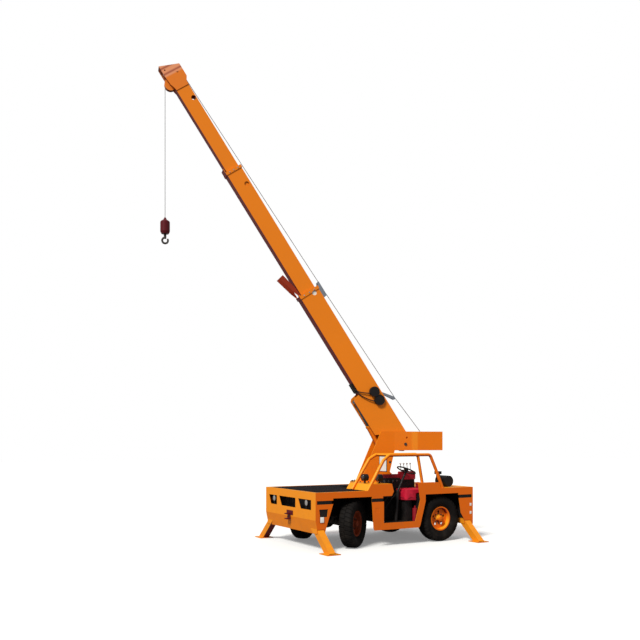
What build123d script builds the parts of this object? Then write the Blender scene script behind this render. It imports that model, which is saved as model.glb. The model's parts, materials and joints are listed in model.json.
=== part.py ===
from build123d import *
import math
import os

# A carry-deck crane: a low four-wheeled chassis with a flat deck at the front, an operator's
# place on the left, a slewing turret in the middle and a three-section telescopic boom.
# Frame: +X forward, +Y to the vehicle's left, +Z up. The origin is on the ground, on the
# slewing axis. Sizes are in millimetres.

# ---- driving sizes: chassis ----
half_width = 1077.0        # to the outside of the side panels
front_x = 2005.0           # front face of the bumper
rear_x = -1940.0           # rear face
deck_top = 1144.0
rail_depth = 120.0         # height of the rail round the deck
body_low = 343.0           # underside of the bumpers and side panels
skin = 8.0                 # body plates
plate = 14.0               # load-carrying plates

# ---- driving sizes: wheels and steering ----
tyre_r = 485.0
tyre_width = 280.0
rim_r = 243.0
wheel_y = 877.0            # wheel centre from the middle of the vehicle
front_axle_x = 1110.0
rear_axle_x = -1135.0
kingpin_y = 697.0
kingpin_r = 24.0
steer_deg = 36.0           # steering angle at rest, to the left
run = 0.05                 # radial clearance of a pin in its bore
stub_r = 38.0              # the knuckle's and the rear axle's stub inside a hub

# ---- driving sizes: outriggers ----
leg_side = 140.0           # square tube of an outrigger leg
leg_wall = 8.0
leg_clear = 0.8            # between a leg and its sleeve
sleeve_wall = 12.0
leg_angle = 41.5           # degrees below level
leg_length = 930.0
front_foot_x = 1888.0
rear_foot_x = -1790.0
foot_y = 1421.0
foot_size = 300.0
foot_plate = 16.0
leg_box = leg_side + 2 * (leg_clear + sleeve_wall)

# ---- driving sizes: turret and boom ----
slew_deg = -15.0           # boom direction at rest, to the right of forward
boom_deg = 56.9            # boom elevation at rest
pivot_r = -740.0           # boom foot pin, measured along the boom's direction from the slewing axis
pivot_z = 2070.0
turret_in = 147.0          # inside of the turret's side plates
turret_plate = 20.0
pin_r = 32.0
axis_drop = 55.0           # boom axis below the foot pin, square to the boom
base_h, base_w = 450.0, 270.0
mid_h, mid_w = 350.0, 222.0
tip_h, tip_w = 290.0, 174.0
boom_wall = 10.0
base_end = 3900.0          # where each section ends, along the boom from the foot pin
mid_end = 6830.0
tip_end = 8780.0
mid_in_base = 760.0        # how far each section reaches back into the one it slides in
tip_in_mid = 700.0
cylinder_foot = (-385.0, 1680.0)   # lift cylinder's lower pin: along the boom's direction, height
cylinder_eye = (1360.0, -410.0)    # its upper pin in the boom's frame: along, above the foot pin
barrel_r = 60.0
barrel_length = 905.0          # from the foot pin to the barrel's top
rod_length = 900.0             # back from the eye
rod_r = 38.0
sheave_at = (8884.0, -231.0)       # head sheave in the boom's frame
sheave_r = 98.0                    # bottom of the groove
idler_at = (9040.0, 20.0)
idler_r = 90.0
rope_r = 7.0
rope_drop = 2700.0         # from the head sheave's centre to the hook weight's top
weight_r = 97.0
weight_h = 330.0

# ---- driving sizes: operator's place ----
cab_front = 430.0
cab_rear = -510.0
cab_in = 470.0             # inner wall, from the middle of the vehicle
cab_floor = 480.0
belt_z = 1270.0
hoop_r = 33.0
hoop_in_y = 548.0
hoop_out_y = 1030.0
roof_z = 1852.0

CENTRE = (Align.CENTER, Align.CENTER, Align.CENTER)
BASE = (Align.CENTER, Align.CENTER, Align.MIN)


def direction(degrees):
    return math.cos(math.radians(degrees)), math.sin(math.radians(degrees))


slew_c, slew_s = direction(slew_deg)
boom_c, boom_s = direction(boom_deg)

# Side views. Each plane's x runs forward, its y up, and its normal to the right-hand side.
side_view = Plane(origin=(0, 0, 0), x_dir=(1, 0, 0), z_dir=(0, -1, 0))
turret_view = Plane(origin=(0, 0, 0), x_dir=(slew_c, slew_s, 0), z_dir=(slew_s, -slew_c, 0))
pivot = turret_view.from_local_coords((pivot_r, pivot_z, 0))
boom_view = Plane(
    origin=pivot,
    x_dir=(boom_c * slew_c, boom_c * slew_s, boom_s),
    z_dir=(slew_s, -slew_c, 0),
)


def prism(plane, points, low, high):
    """A straight-sided outline in a plane, thick from low to high along the plane's normal."""
    face = make_face(Polyline(*points, close=True))
    return extrude(plane.offset(low) * face, high - low, dir=plane.z_dir)


def block(x0, x1, y0, y1, z0, z1):
    """A box between two corners."""
    return Pos((x0 + x1) / 2, (y0 + y1) / 2, (z0 + z1) / 2) * Box(x1 - x0, y1 - y0, z1 - z0)


def bar(start, end, radius):
    """A round bar between two points."""
    start, end = Vector(*start), Vector(*end)
    return Plane(origin=start, z_dir=end - start) * Cylinder(radius, (end - start).length, align=BASE)


def across(plane, x, y, radius, low, high):
    """A round bar square to a view, at a point of it."""
    face = plane.offset(low) * Pos(x, y) * Circle(radius)
    return extrude(face, high - low, dir=plane.z_dir)


def box_in(plane, x0, x1, y0, y1, low, high):
    """A box with its sides along a view's axes."""
    return prism(plane, [(x0, y0), (x1, y0), (x1, y1), (x0, y1)], low, high)


def mirrored(shape):
    """The same piece on the vehicle's other side."""
    return mirror(shape, about=Plane.XZ)


def save(name, *solids):
    """One node: its solids don't touch each other."""
    flat = [s for shape in solids for s in shape.solids()]
    export_step(Compound(children=flat) if len(flat) > 1 else flat[0], "parts/" + name + ".step")


# ---- chassis: frame, bumpers, decks ----
rail_in, rail_out = 300.0, 400.0           # main rails, from the middle
rail_low, rail_top = 600.0, 1000.0
rail_front = front_foot_x - leg_box / 2 - plate
rail_rear = rear_foot_x + leg_box / 2 + plate
slot_low, strip_top = 915.0, 985.0         # dark strip below the deck rail
slot_top = deck_top - rail_depth
strip_y = half_width - 4                   # the strip's outer face
strip_thick = 12.0
border = 62.0                              # orange edge round the deck
deck_rear = 700.0
ring_r = 430.0                             # pedestal under the slewing ring
ring_z = 1190.0
box_half = 265.0                           # gearbox, fore and aft of the middle
arch_front_x = -650.0                      # front edge of the rear wheel arch, at its top
seat_well_rear = -1010.0


def chassis_frame():
    frame = block(rail_rear, rail_front, rail_in, rail_out, rail_low, rail_top)
    inside = (rail_in + plate, rail_out - plate, rail_low + plate, rail_top - plate)
    frame -= block(rail_rear, rail_front, *inside)
    frame += mirrored(frame)
    for x in (rail_rear, -box_half - 90, box_half, rail_front - 90):
        frame += block(x, x + 90, -rail_in, rail_in, rail_low + 40, rail_top - 40)
    frame += block(arch_front_x, deck_rear, -cab_in, cab_in, rail_top, rail_top + plate)
    frame += Pos(0, 0, rail_top) * Cylinder(ring_r, ring_z - rail_top, align=BASE)
    frame -= Pos(0, 0, rail_top + plate) * Cylinder(ring_r - 2 * plate, ring_z, align=BASE)
    edge = strip_y - strip_thick - 1
    for x, low in ((rail_front, 400.0), (rail_rear - plate, 480.0)):
        frame += block(x, x + plate, -edge, edge, low, rail_top)
    save("chassis_frame", frame)


leg_c, leg_s = direction(leg_angle)
sleeve_start, sleeve_end = 490.0, 900.0   # along the leg from the middle of its foot


def leg_view(x, side):
    """A plane square to a leg: origin in the middle of its foot's underside, normal up the leg."""
    return Plane(origin=(x, side * foot_y, foot_plate), x_dir=(1, 0, 0), z_dir=(0, -side * leg_c, leg_s))


def leg_way(x, side):
    """The room that a leg and its sleeve take."""
    view = leg_view(x, side)
    return extrude(view * Rectangle(leg_box + 2, leg_box + 2), sleeve_end, dir=view.z_dir)


fold_z = 610.0
lean = 55.0                                # how far the bumper's foot leans back
front_view = Plane(origin=(0, 0, 0), x_dir=(0, 1, 0), z_dir=(1, 0, 0))
opening_low, opening_top = 800.0, 995.0
openings = [(-930.0, -560.0, 90.0), (-460.0, 260.0, 110.0), (370.0, 900.0, 110.0)]


def front_bumper():
    edge = [(1610.0, slot_low), (1750.0, 510.0), (1800.0, body_low)]
    face = [(front_x - lean, body_low), (front_x, fold_z), (front_x, slot_top)]
    shell = prism(side_view, edge + face + [(1610.0, slot_top)], -half_width, half_width)
    inner = [(1500.0, slot_top + 1), (1500.0, body_low + skin), (front_x - lean - skin, body_low + skin)]
    inner += [(front_x - skin, fold_z), (front_x - skin, slot_top + 1)]
    shell -= prism(side_view, inner, -half_width + skin, half_width - skin)
    for side in (1, -1):
        y = side * half_width
        shell -= block(1500, front_x - 30, y - 30, y + 30, slot_low, strip_top)
        hole = [(1725.0, 820.0), (1925.0, 820.0), (1905.0, 670.0), (1745.0, 670.0)]
        shell -= prism(side_view, hole, -side * half_width - 20, -side * half_width + 20)
    for left, right, slant in openings:
        outline = [(left, opening_top), (right, opening_top)]
        outline += [(right, opening_low), (left + slant, opening_low)]
        shell -= prism(front_view, outline, front_x - 20, front_x + 20)
    for side in (1, -1):
        shell -= leg_way(front_foot_x, side)
    save("front_bumper", shell)


def rear_bumper():
    edge = [(-1535.0, slot_top), (-1545.0, slot_low), (-1605.0, 590.0), (-1760.0, body_low)]
    shell = prism(side_view, edge + [(rear_x, body_low), (rear_x, slot_top)], -half_width, half_width)
    shell -= block(rear_x + skin, -1500, -half_width + skin, half_width - skin, body_low + skin, slot_top + 1)
    for side in (1, -1):
        y = side * half_width
        shell -= block(rear_x + 30, -1500, y - 30, y + 30, slot_low, strip_top)
        shell -= leg_way(rear_foot_x, side)
    save("rear_bumper", shell)


def deck_frame():
    frame = block(deck_rear, front_x, -half_width, half_width, slot_top, deck_top)
    edge_y = half_width - border
    frame -= block(deck_rear + border, front_x - border, -edge_y, edge_y, 0, 2000)
    frame -= block(deck_rear - 1, deck_rear + border, -edge_y, edge_y, deck_top - plate, 2000)
    for x in (900.0, 1250.0, 1600.0):
        frame += block(x, x + 60, -edge_y, edge_y, slot_top, deck_top - plate)
    right = block(arch_front_x, deck_rear, -half_width, -half_width + border, slot_top, deck_top)
    frame += right
    save("deck_frame", frame)


def deck_plate():
    edge_y, low, high = half_width - border, deck_top - plate, deck_top - 4
    sheet = block(deck_rear, front_x - border, -edge_y, edge_y, low, high)
    sheet += block(arch_front_x, deck_rear, -edge_y, -cab_in, low, high)
    sheet += block(cowl_middle, deck_rear, -cab_in, cowl_end_y, low, high)
    save("deck_plate", sheet)


def rear_deck():
    top = block(rear_x, arch_front_x, -half_width, half_width, slot_top, deck_top)
    edge_y = half_width - border
    top -= block(rear_x + border, arch_front_x + 1, -edge_y, edge_y, 0, deck_top - plate)
    top -= block(seat_well_rear, arch_front_x + 1, cab_in, half_width - skin, 0, 2000)
    save("rear_deck", top)


def side_strips():
    """Dark strips in the slot under the deck rail."""
    strips = []
    for low, high in ((1640.0, front_x - 40), (rear_x + 40, -1560.0)):
        strip = block(low, high, strip_y - strip_thick, strip_y, slot_low, strip_top)
        strips += [strip, mirrored(strip)]
    strips.append(block(cab_front + 2, deck_rear, strip_y - strip_thick, strip_y, slot_low, strip_top))
    save("side_strips", *strips)


# ---- outriggers ----
def outrigger_sleeves():
    sleeves = []
    for x in (front_foot_x, rear_foot_x):
        for side in (1, -1):
            view = leg_view(x, side).offset(sleeve_start)
            tube = extrude(view * Rectangle(leg_box, leg_box), sleeve_end - sleeve_start, dir=view.z_dir)
            bore, through = leg_side + 2 * leg_clear, sleeve_end - sleeve_start + 10
            tube -= extrude(view.offset(-5) * Rectangle(bore, bore), through, dir=view.z_dir)
            inside_y = half_width - skin - 1
            sleeves.append(tube & block(x - 200, x + 200, -inside_y, inside_y, body_low + skin, slot_top))
    save("outrigger_sleeves", *sleeves)


def outrigger_legs():
    for x, end in ((front_foot_x, "front"), (rear_foot_x, "rear")):
        for side, name in ((1, "left"), (-1, "right")):
            view = leg_view(x, side)
            tube = extrude(view.offset(-60) * Rectangle(leg_side, leg_side), leg_length + 60, dir=view.z_dir)
            bore = leg_side - 2 * leg_wall
            tube -= extrude(view.offset(60) * Rectangle(bore, bore), leg_length, dir=view.z_dir)
            tube &= block(x - 200, x + 200, -2000, 2000, foot_plate, 2000)
            foot = block(
                x - foot_size / 2, x + foot_size / 2,
                side * foot_y - foot_size / 2, side * foot_y + foot_size / 2, 0, foot_plate,
            )
            save("leg_" + end + "_" + name, tube + foot)


# ---- axles, knuckles and wheels ----
axle_r = 72.0
nose = 210.0                               # the axle's drive flange, from its middle
shaft_r = 34.0
fork_gap = 122.0                           # between the fork's arms, over the knuckle
knuckle_h = 120.0
fork_arm = 34.0
flange_x = 52.0                            # rim flange, inboard of the tyre's side
bead_gap = 0.2                             # between tyre and rim
disc_y = 15.0                              # the rim's disc, outward of the wheel's centre
stub_end = disc_y + 20                     # the stub's outer end, from the wheel's centre


def axle_tube(x, end):
    tube = bar((x, -end, tyre_r), (x, end, tyre_r), axle_r)
    tube += Pos(x, 0, tyre_r) * Sphere(165.0)
    tube += bar((x, 0, tyre_r), (x - math.copysign(nose, x), 0, tyre_r), 50)
    for side in (1, -1):
        tube += block(x - 80, x + 80, side * 350 - 45, side * 350 + 45, tyre_r, rail_low)
    return tube


def front_axle():
    axle = axle_tube(front_axle_x, kingpin_y - 100)
    for side in (1, -1):
        x, y = front_axle_x, side * kingpin_y
        axle += block(x - 60, x + 60, min(y, y - side * 100), max(y, y - side * 100),
                      tyre_r - fork_gap / 2 - fork_arm, tyre_r + fork_gap / 2 + fork_arm)
        for low in (-fork_gap / 2 - fork_arm, fork_gap / 2):
            axle += Pos(x, y, tyre_r + low) * Cylinder(60, fork_arm, align=BASE)
        axle -= Pos(x, y, tyre_r) * Cylinder(98, fork_gap, align=CENTRE)
        axle += Pos(x, y, tyre_r) * Cylinder(kingpin_r, fork_gap + 2 * fork_arm, align=CENTRE)
    return axle


def rear_axle():
    axle = axle_tube(rear_axle_x, wheel_y - 110)
    for side in (1, -1):
        axle += bar((rear_axle_x, side * (wheel_y - 120), tyre_r),
                    (rear_axle_x, side * (wheel_y + stub_end), tyre_r), stub_r)
    return axle


def drive_line():
    line = block(-box_half, box_half, -150, 150, tyre_r + 20, tyre_r + 330)
    for x in (front_axle_x, rear_axle_x):
        toward = math.copysign(1, x)
        start = (x - toward * (nose + 7), 0, tyre_r)
        line += bar(start, (toward * (box_half - 10), 0, tyre_r + 95), shaft_r)
    save("drive_line", line)


def steered(shape, side):
    """A piece drawn straight ahead, turned with its wheel to the steering angle at rest."""
    to_pin = Pos(front_axle_x, side * kingpin_y, 0)
    return to_pin * Rot(0, 0, steer_deg) * to_pin.inverse() * shape


def knuckle(side, name):
    x, y = front_axle_x, side * kingpin_y
    body = Pos(x, y, tyre_r) * Cylinder(56, knuckle_h, align=CENTRE)
    body += bar((x, y, tyre_r), (x, side * (wheel_y + stub_end), tyre_r), stub_r)
    body += block(x - 210, x, y - 22, y + 22, tyre_r - 50, tyre_r - 18)
    body -= Pos(x, y, tyre_r) * Cylinder(kingpin_r + run, 2 * knuckle_h, align=CENTRE)
    save("knuckle_" + name, steered(body, side))


def tyre_solid(x):
    half = tyre_width / 2
    crown = tyre_r - 12
    bead = half - flange_x - 2
    heel = Line((bead, rim_r + bead_gap), (bead, rim_r + 18))
    right_side = Spline((bead, rim_r + 18), (half, (tyre_r + rim_r) / 2 + 10), (half - 26, crown - 10))
    top = Line((half - 26, crown - 10), (half - 44, crown))
    tread = ThreePointArc((half - 44, crown), (0, tyre_r), (-half + 44, crown))
    left_side = mirror(right_side, about=Plane.YZ)
    left_top = mirror(top, about=Plane.YZ)
    left_heel = mirror(heel, about=Plane.YZ)
    bottom = Line((-bead, rim_r + bead_gap), (bead, rim_r + bead_gap))
    face = make_face([bottom, heel, right_side, top, tread, left_top, left_side, left_heel])
    turned = revolve(Plane(origin=(0, 0, 0)) * face, axis=Axis.X)
    return Pos(x, wheel_y, tyre_r) * Rot(0, 0, 90) * turned


def rim_solid(x):
    half = tyre_width / 2
    seat = rim_r
    inner_lip, outer_lip = half - flange_x, half - flange_x + 9
    outline = [
        (-inner_lip, seat), (-inner_lip, seat + 13), (-outer_lip, seat + 13), (-outer_lip, seat - 10),
        (-half + 60, seat - 30), (disc_y - 12, seat - 30), (disc_y - 12, 46), (disc_y - 60, 46),
        (disc_y - 60, stub_r + run), (disc_y + 34, stub_r + run), (disc_y + 34, 66), (disc_y, 84),
        (disc_y + 4, seat - 32), (inner_lip - 3, seat - 24), (outer_lip, seat - 10), (outer_lip, seat + 13),
        (inner_lip, seat + 13), (inner_lip, seat),
    ]
    turned = revolve(make_face(Polyline(*outline, close=True)), axis=Axis.X)
    turned += Pos(disc_y + 34, 0, 0) * Rot(0, 90, 0) * Cylinder(66, 42, align=BASE)
    for step in range(5):
        turn = Rot(72.0 * step, 0, 0)
        turned -= turn * Pos(disc_y, 0, 145) * Rot(0, 90, 0) * Cylinder(26, 60, align=CENTRE)
    return Pos(x, wheel_y, tyre_r) * Rot(0, 0, 90) * turned


def wheels():
    for x, end in ((front_axle_x, "front"), (rear_axle_x, "rear")):
        for side, name in ((1, "left"), (-1, "right")):
            pieces = (("tyre", tyre_solid(x)), ("rim", rim_solid(x)))
            for kind, piece in pieces:
                piece = piece if side > 0 else mirrored(piece)
                if end == "front":
                    piece = steered(piece, side)
                save(kind + "_" + end + "_" + name, piece)


# ---- operator's place ----
hitch_bore_r = 20.0
hitch_reach, hitch_half, hitch_pin = 80.0, 60.0, 44.0
cowl_front, cowl_top_x, cowl_rear = 800.0, 720.0, 210.0
cowl_middle = 545.0                        # rear edge of the cowl beside the turret
cowl_end_y = 280.0                         # the cowl's end, toward the middle of the deck
side_out = half_width - skin
door = [(410.0, cab_floor), (-380.0, cab_floor)]
floor_low = cab_floor - skin


def cowl_outline():
    front = [(cowl_front, deck_top), (cowl_top_x, belt_z), (cowl_rear, belt_z)]
    return front + [(165.0, 1110.0), (215.0, slot_top)]


def cab_cowl():
    """Sloped cover ahead of the operator, with the pointed side panel."""
    slope = [(cowl_front, deck_top), (cowl_top_x, belt_z)]
    slope += [(cowl_top_x - skin, belt_z), (cowl_front - skin, deck_top)]
    cover = prism(side_view, slope, -half_width, -cowl_end_y)
    cover += block(cowl_middle, cowl_top_x, cowl_end_y, cab_in, belt_z - skin, belt_z)
    cover += block(cowl_rear, cowl_top_x, cab_in, half_width, belt_z - skin, belt_z)
    side = cowl_outline() + [(deck_rear, slot_top), (deck_rear, deck_top)]
    cover += prism(side_view, side, -half_width, -side_out)
    cover += prism(side_view, [(cowl_front, deck_top), (cowl_top_x, belt_z), (cowl_middle, belt_z),
                               (cowl_middle, deck_top)], -cowl_end_y - skin, -cowl_end_y)
    save("cab_cowl", cover)


def cab_side():
    """Left side: lower front panel, bottom rail, rear upright and the raised rear panel."""
    outline = [(deck_rear, slot_low), (665.0, 400.0), (640.0, body_low), (-490.0, body_low), (-512.0, 390.0)]
    outline += [(arch_front_x, 880.0), (arch_front_x, deck_top), (-1060.0, deck_top), (-1000.0, belt_z)]
    outline += [(-450.0, belt_z), (cab_rear, slot_low)] + door[::-1] + [(door[0][0], slot_low)]
    panel = prism(side_view, outline, -half_width, -side_out)
    strip_in = strip_y - strip_thick
    panel += block(cab_front, deck_rear - 4, strip_in - skin, half_width, slot_low - skin, slot_top)
    panel -= block(cab_front - 1, deck_rear, strip_in, half_width + 1, slot_low, strip_top)
    panel -= block(520.0, 620.0, half_width - 3, half_width + 1, 700.0, 790.0)
    panel += block(-930.0, -450.0, 985.0, side_out, belt_z - skin, belt_z)
    save("cab_side", panel)


def cab_tub():
    """Floor, bulkheads and inner wall of the operator's place, and the shelf over the wheel."""
    tub = block(cab_rear, cab_front, cab_in, side_out, floor_low, cab_floor)
    tub += block(cab_front - skin, cab_front, cab_in, side_out, floor_low, belt_z - skin)
    tub += block(cab_rear - skin, cab_rear, cab_in, side_out, floor_low, slot_top)
    tub += block(cab_rear, cab_front, cab_in, cab_in + skin, floor_low, deck_top)
    tub += block(seat_well_rear, cab_rear, cab_in, side_out, slot_top - skin, slot_top)
    tub += block(cab_rear - skin, cab_front, rail_out, cab_in, floor_low + 160, floor_low + 260)
    save("cab_tub", tub)


def engine_side():
    """Right side: a closed panel with air slots, and the engine's cover behind it."""
    outline = [(deck_rear, slot_top), (665.0, 400.0), (640.0, body_low), (-490.0, body_low), (-512.0, 390.0)]
    outline += [(arch_front_x, 880.0), (arch_front_x, slot_top)]
    panel = prism(side_view, outline, side_out, half_width)
    for row in range(5):
        z = 600.0 + 55.0 * row
        panel -= block(-260.0, 160.0, -half_width - 1, -side_out + 1, z, z + 22.0)
    for x in (cab_rear - skin, cab_front):
        panel += block(x, x + skin, -side_out, -rail_out, body_low + 130, rail_top)
    save("engine_side", panel)


def engine():
    body = block(-380.0, 330.0, -960.0, -rail_out, 560.0, 985.0)
    body -= block(-400.0, 350.0, -961.0, -880.0, 880.0, 990.0)
    save("engine_block", body)


cross_r = hoop_r - 12                      # cross bars of the roll frame


def tube_frame(points, y, bend):
    """A bent tube in a side view, standing at one distance from the middle."""
    path = FilletPolyline(*[(x, y, z) for x, z in points], radius=bend)
    return sweep(Plane(origin=path @ 0, z_dir=path % 0) * Circle(hoop_r), path=path)


def roll_frame():
    outer = [(770.0, deck_top), (395.0, 1742.0), (255.0, roof_z)]
    outer += [(-800.0, roof_z), (-946.0, 1560.0), (-1133.0, deck_top)]
    inner = [(835.0, deck_top), (410.0, 1762.0), (245.0, roof_z), (-850.0, roof_z), (-990.0, deck_top)]
    frame = tube_frame(outer, hoop_out_y, 90) + tube_frame(inner, hoop_in_y, 90)
    for x in (215.0, -490.0, -740.0):
        frame += bar((x, hoop_in_y, roof_z), (x, hoop_out_y, roof_z), cross_r)
    frame += bar((-490.0, hoop_out_y, roof_z), (-590.0, hoop_out_y, belt_z - 10), cross_r)
    frame -= prism(side_view, cowl_outline(), -half_width - 1, half_width)
    frame -= block(-1200, 1200, 0, half_width, 900, deck_top)
    frame -= block(-800, -300, hoop_out_y - 60, half_width, deck_top - 10, belt_z)
    save("roll_frame", frame)


seat_mid_y = 800.0
column_y = 835.0
cushion_low, cushion_top = 1052.0, 1142.0
roll_x, roll_low = -500.0, 905.0           # the cushion's deep front part: where it starts and its underside


def seat():
    base = block(-640.0, roll_x - 0.3, seat_mid_y - 150, seat_mid_y + 150, slot_top, cushion_low - 0.3)
    leg = block(-430.0, -250.0, seat_mid_y - 90, seat_mid_y + 90, cab_floor, roll_low - 0.3)
    upright = block(-806.0, -800.3, seat_mid_y - 60, seat_mid_y + 60, slot_top, belt_z - 60)
    foot = block(-806.0, -640.0, seat_mid_y - 60, seat_mid_y + 60, slot_top, slot_top + 10)
    save("seat_base", base + upright + foot, leg)
    cushion = block(-720.0, -190.0, seat_mid_y - 200, seat_mid_y + 200, cushion_low, cushion_top)
    cushion += block(roll_x, -190.0, seat_mid_y - 200, seat_mid_y + 200, roll_low, cushion_top)
    cushion = fillet(cushion.edges().filter_by(Axis.Z), 50)
    save("seat_cushion", cushion)
    back = block(-800.0, -722.0, seat_mid_y - 190, seat_mid_y + 190, cushion_top - 60, belt_z - 5)
    back = fillet(back.edges().filter_by(Axis.X), 40)
    save("seat_back", back)


console_y = (hoop_in_y - hoop_r + 3, hoop_in_y - hoop_r + 88.0)


def controls():
    """Console along the inner wall, its lever box and the levers."""
    step_x, low_z, high_z = -340.0, 1320.0, 1360.0
    shape = [(-720.0, deck_top), (150.0, deck_top), (150.0, high_z)]
    shape += [(step_x, high_z), (step_x, low_z), (-720.0, low_z)]
    console = prism(side_view, shape, -console_y[1], -console_y[0])
    console += block(cab_rear, cab_front - skin, cab_in + skin, console_y[1] - 30, deck_top - 200, deck_top)
    save("control_console", console)
    box_top = 1490.0
    box = block(-720.0, step_x, console_y[0] + 2, console_y[1] + 35, low_z, box_top)
    box = fillet(box.edges().filter_by(Axis.Y), 20)
    box += block(step_x - 30, 55.0, console_y[0] + 2, console_y[1] - 5, high_z, 1438.0)
    save("lever_box", box)
    levers = []
    for step in range(4):
        x = -680.0 + 85.0 * step
        top = (x + 50, console_y[0] + 50, 1655.0)
        lever = bar((x + 30, console_y[0] + 50, box_top - 5), top, 7)
        lever += Pos(*top) * Sphere(20)
        lever -= block(-750, 0, 0, 1000, 1400, box_top)
        levers.append(lever)
    save("levers_and_pedals", *levers, *pedals())


def steering():
    """Steering column from the floor, with its wheel."""
    centre = Vector(-330.0, column_y, 1525.0)
    tilt = Plane(origin=centre, z_dir=(-0.40, 0, 0.9165))
    column = bar((-60.0, column_y, cab_floor), (-110.0, column_y, 1090.0), 34)
    column += bar((-110.0, column_y, 1090.0), tuple(centre), 24)
    column += Pos(-110.0, column_y, 1090.0) * Sphere(38)
    wheel = tilt * Torus(195, 14)
    for step in range(3):
        spoke = Rot(0, 0, 120 * step + 30) * Pos(100, 0, 0) * Box(200, 26, 9)
        wheel += tilt * spoke
    wheel += tilt * Cylinder(42, 40, align=CENTRE)
    column -= block(-400, 0, 0, 1000, 0, cab_floor)
    save("steering_wheel", column + wheel)


def cab_fittings():
    cylinder = Pos(-440.0, 985.0, cab_floor) * Cylinder(52, 260, align=BASE)
    cylinder += Pos(-440.0, 985.0, cab_floor + 260) * Cylinder(16, 50, align=BASE)
    save("extinguisher", cylinder)
    card = block(208.0, 212.0, 625.0, 895.0, 1505.0, roof_z - cross_r - 0.3)
    save("load_card", card)


def pedals():
    pair = []
    for y in (650.0, 900.0):
        pedal = block(300.0, 370.0, y - 35, y + 35, cab_floor, cab_floor + 20)
        pedal += block(320.0, 335.0, y - 10, y + 10, cab_floor, cab_floor + 130)
        pair.append(pedal)
    return pair


def body_fittings():
    x, stack_x, y, z = -1455.0, -1285.0, 700.0, deck_top + 125
    cleaner = Pos(x, y, z) * Rot(90, 0, 0) * Cylinder(118, 330, align=CENTRE)
    cleaner += block(x - 40, x + 40, y - 100, y + 100, deck_top, z)
    cleaner += bar((x, y, z), (stack_x, y, z), 42)
    cleaner += bar((stack_x, y, z - 40), (stack_x, y, z + 150), 42)
    cleaner += Pos(stack_x, y, z + 150) * Cylinder(78, 62, align=BASE)
    save("air_cleaner", cleaner)
    lamps = []
    for x, y in ((605.0, 680.0), (385.0, 870.0)):
        lamp = Pos(x, y, belt_z) * Cylinder(16, 75, align=BASE)
        lamp += Pos(x, y, belt_z + 122) * Rot(0, 90, 0) * Cylinder(70, 105, align=CENTRE)
        lamps.append(lamp)
    for y in (690.0, -700.0):
        lamp = Pos(front_x - 42, y, 925.0) * Rot(0, 90, 0) * Cylinder(72, 30, align=BASE)
        lamp += block(front_x - 42, front_x - skin, y - 10, y + 10, 780.0, 855.0)
        lamps.append(lamp)
    side_lamp = block(1819.0, 1909.0, half_width, half_width + 8, 562.0, 677.0)
    save("lamps", *lamps, side_lamp, mirrored(side_lamp))
    hitches = []
    for x, way in ((front_x, 1), (rear_x, -1)):
        hitch = block(0, hitch_reach, -hitch_half, hitch_half, 545.0, 567.0)
        hitch += block(0, hitch_reach, -hitch_half, hitch_half, 648.0, 670.0)
        hitch += block(0, plate, -hitch_half, hitch_half, 545.0, 670.0)
        hitch += block(0, 10.0, -100.0, 160.0, 640.0, 730.0)
        hitch -= Pos(hitch_pin, 0, 500) * Cylinder(hitch_bore_r, 300, align=BASE)
        hitches.append(Pos(x, 0, 0) * (hitch if way > 0 else Rot(0, 0, 180) * hitch))
    save("tow_hitches", *hitches)


# ---- turret ----
turret_out = turret_in + turret_plate
turn_gap = 0.3                             # between the fixed ring and the turning one
base_r = 450.0
base_z = 1240.0
base_plate = 24.0
turret_top, tail_low, tail_rear = 2345.0, 1935.0, -1610.0
drum_at, drum_r, flange_r = (-1195.0, 2135.0), 80.0, 125.0
foot_pin_r = 28.0


def both_plates(plane, outline, inside, thick):
    """The same plate on both sides of a view's middle."""
    return prism(plane, outline, inside, inside + thick) + prism(plane, outline, -inside - thick, -inside)


def turret_frame():
    foot = base_z + base_plate
    ring = Pos(0, 0, ring_z + turn_gap) * Cylinder(ring_r - 10, base_z - ring_z - turn_gap, align=BASE)
    ring += Pos(0, 0, base_z) * Cylinder(base_r, base_plate, align=BASE)
    outline = [(295.0, foot), (-178.0, turret_top), (tail_rear, turret_top), (tail_rear, tail_low)]
    outline += [(-490.0, tail_low), (-380.0, 1470.0), (-468.0, 1390.0), (-468.0, foot + 60), (-420.0, foot)]
    frame = ring + both_plates(turret_view, outline, turret_in, turret_plate)
    frame += box_in(turret_view, 160.0, 200.0, foot, 1430.0, -turret_in, turret_in)
    frame += box_in(turret_view, tail_rear, tail_rear + plate, tail_low, turret_top, -turret_in, turret_in)
    frame += box_in(turret_view, tail_rear, -1070.0, tail_low, tail_low + plate, -turret_in, turret_in)
    frame += box_in(turret_view, tail_rear, -1330.0, turret_top - plate, turret_top, -turret_in, turret_in)
    frame -= across(boom_view, 0, 0, pin_r, -300, 300)
    frame -= across(turret_view, *cylinder_foot, foot_pin_r, -300, 300)
    frame -= across(turret_view, pivot_r - 30, pivot_z + 140, 22, -300, 300)
    save("turret_frame", frame)


def turret_pins():
    width = turret_out + 14
    pivot_pin = across(boom_view, 0, 0, pin_r, -width, width)
    foot_pin = across(turret_view, *cylinder_foot, foot_pin_r, -turret_out, turret_out)
    drum = across(turret_view, *drum_at, drum_r, -100, 100)
    for low in (-112, 100):
        drum += across(turret_view, *drum_at, flange_r, low, low + 12)
    drum += across(turret_view, *drum_at, 30, -turret_in + 0.3, turret_in - 0.3)
    save("drum_and_pins", drum, pivot_pin, foot_pin)


# ---- lift cylinder ----
foot_world = turret_view.from_local_coords((cylinder_foot[0], cylinder_foot[1], 0))
eye_world = boom_view.from_local_coords((cylinder_eye[0], cylinder_eye[1], 0))
lift_view = Plane(origin=foot_world, x_dir=eye_world - foot_world, z_dir=(slew_s, -slew_c, 0))
lift_length = (eye_world - foot_world).length
eye_r = 50.0
bracket_plate = 12.0


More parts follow.
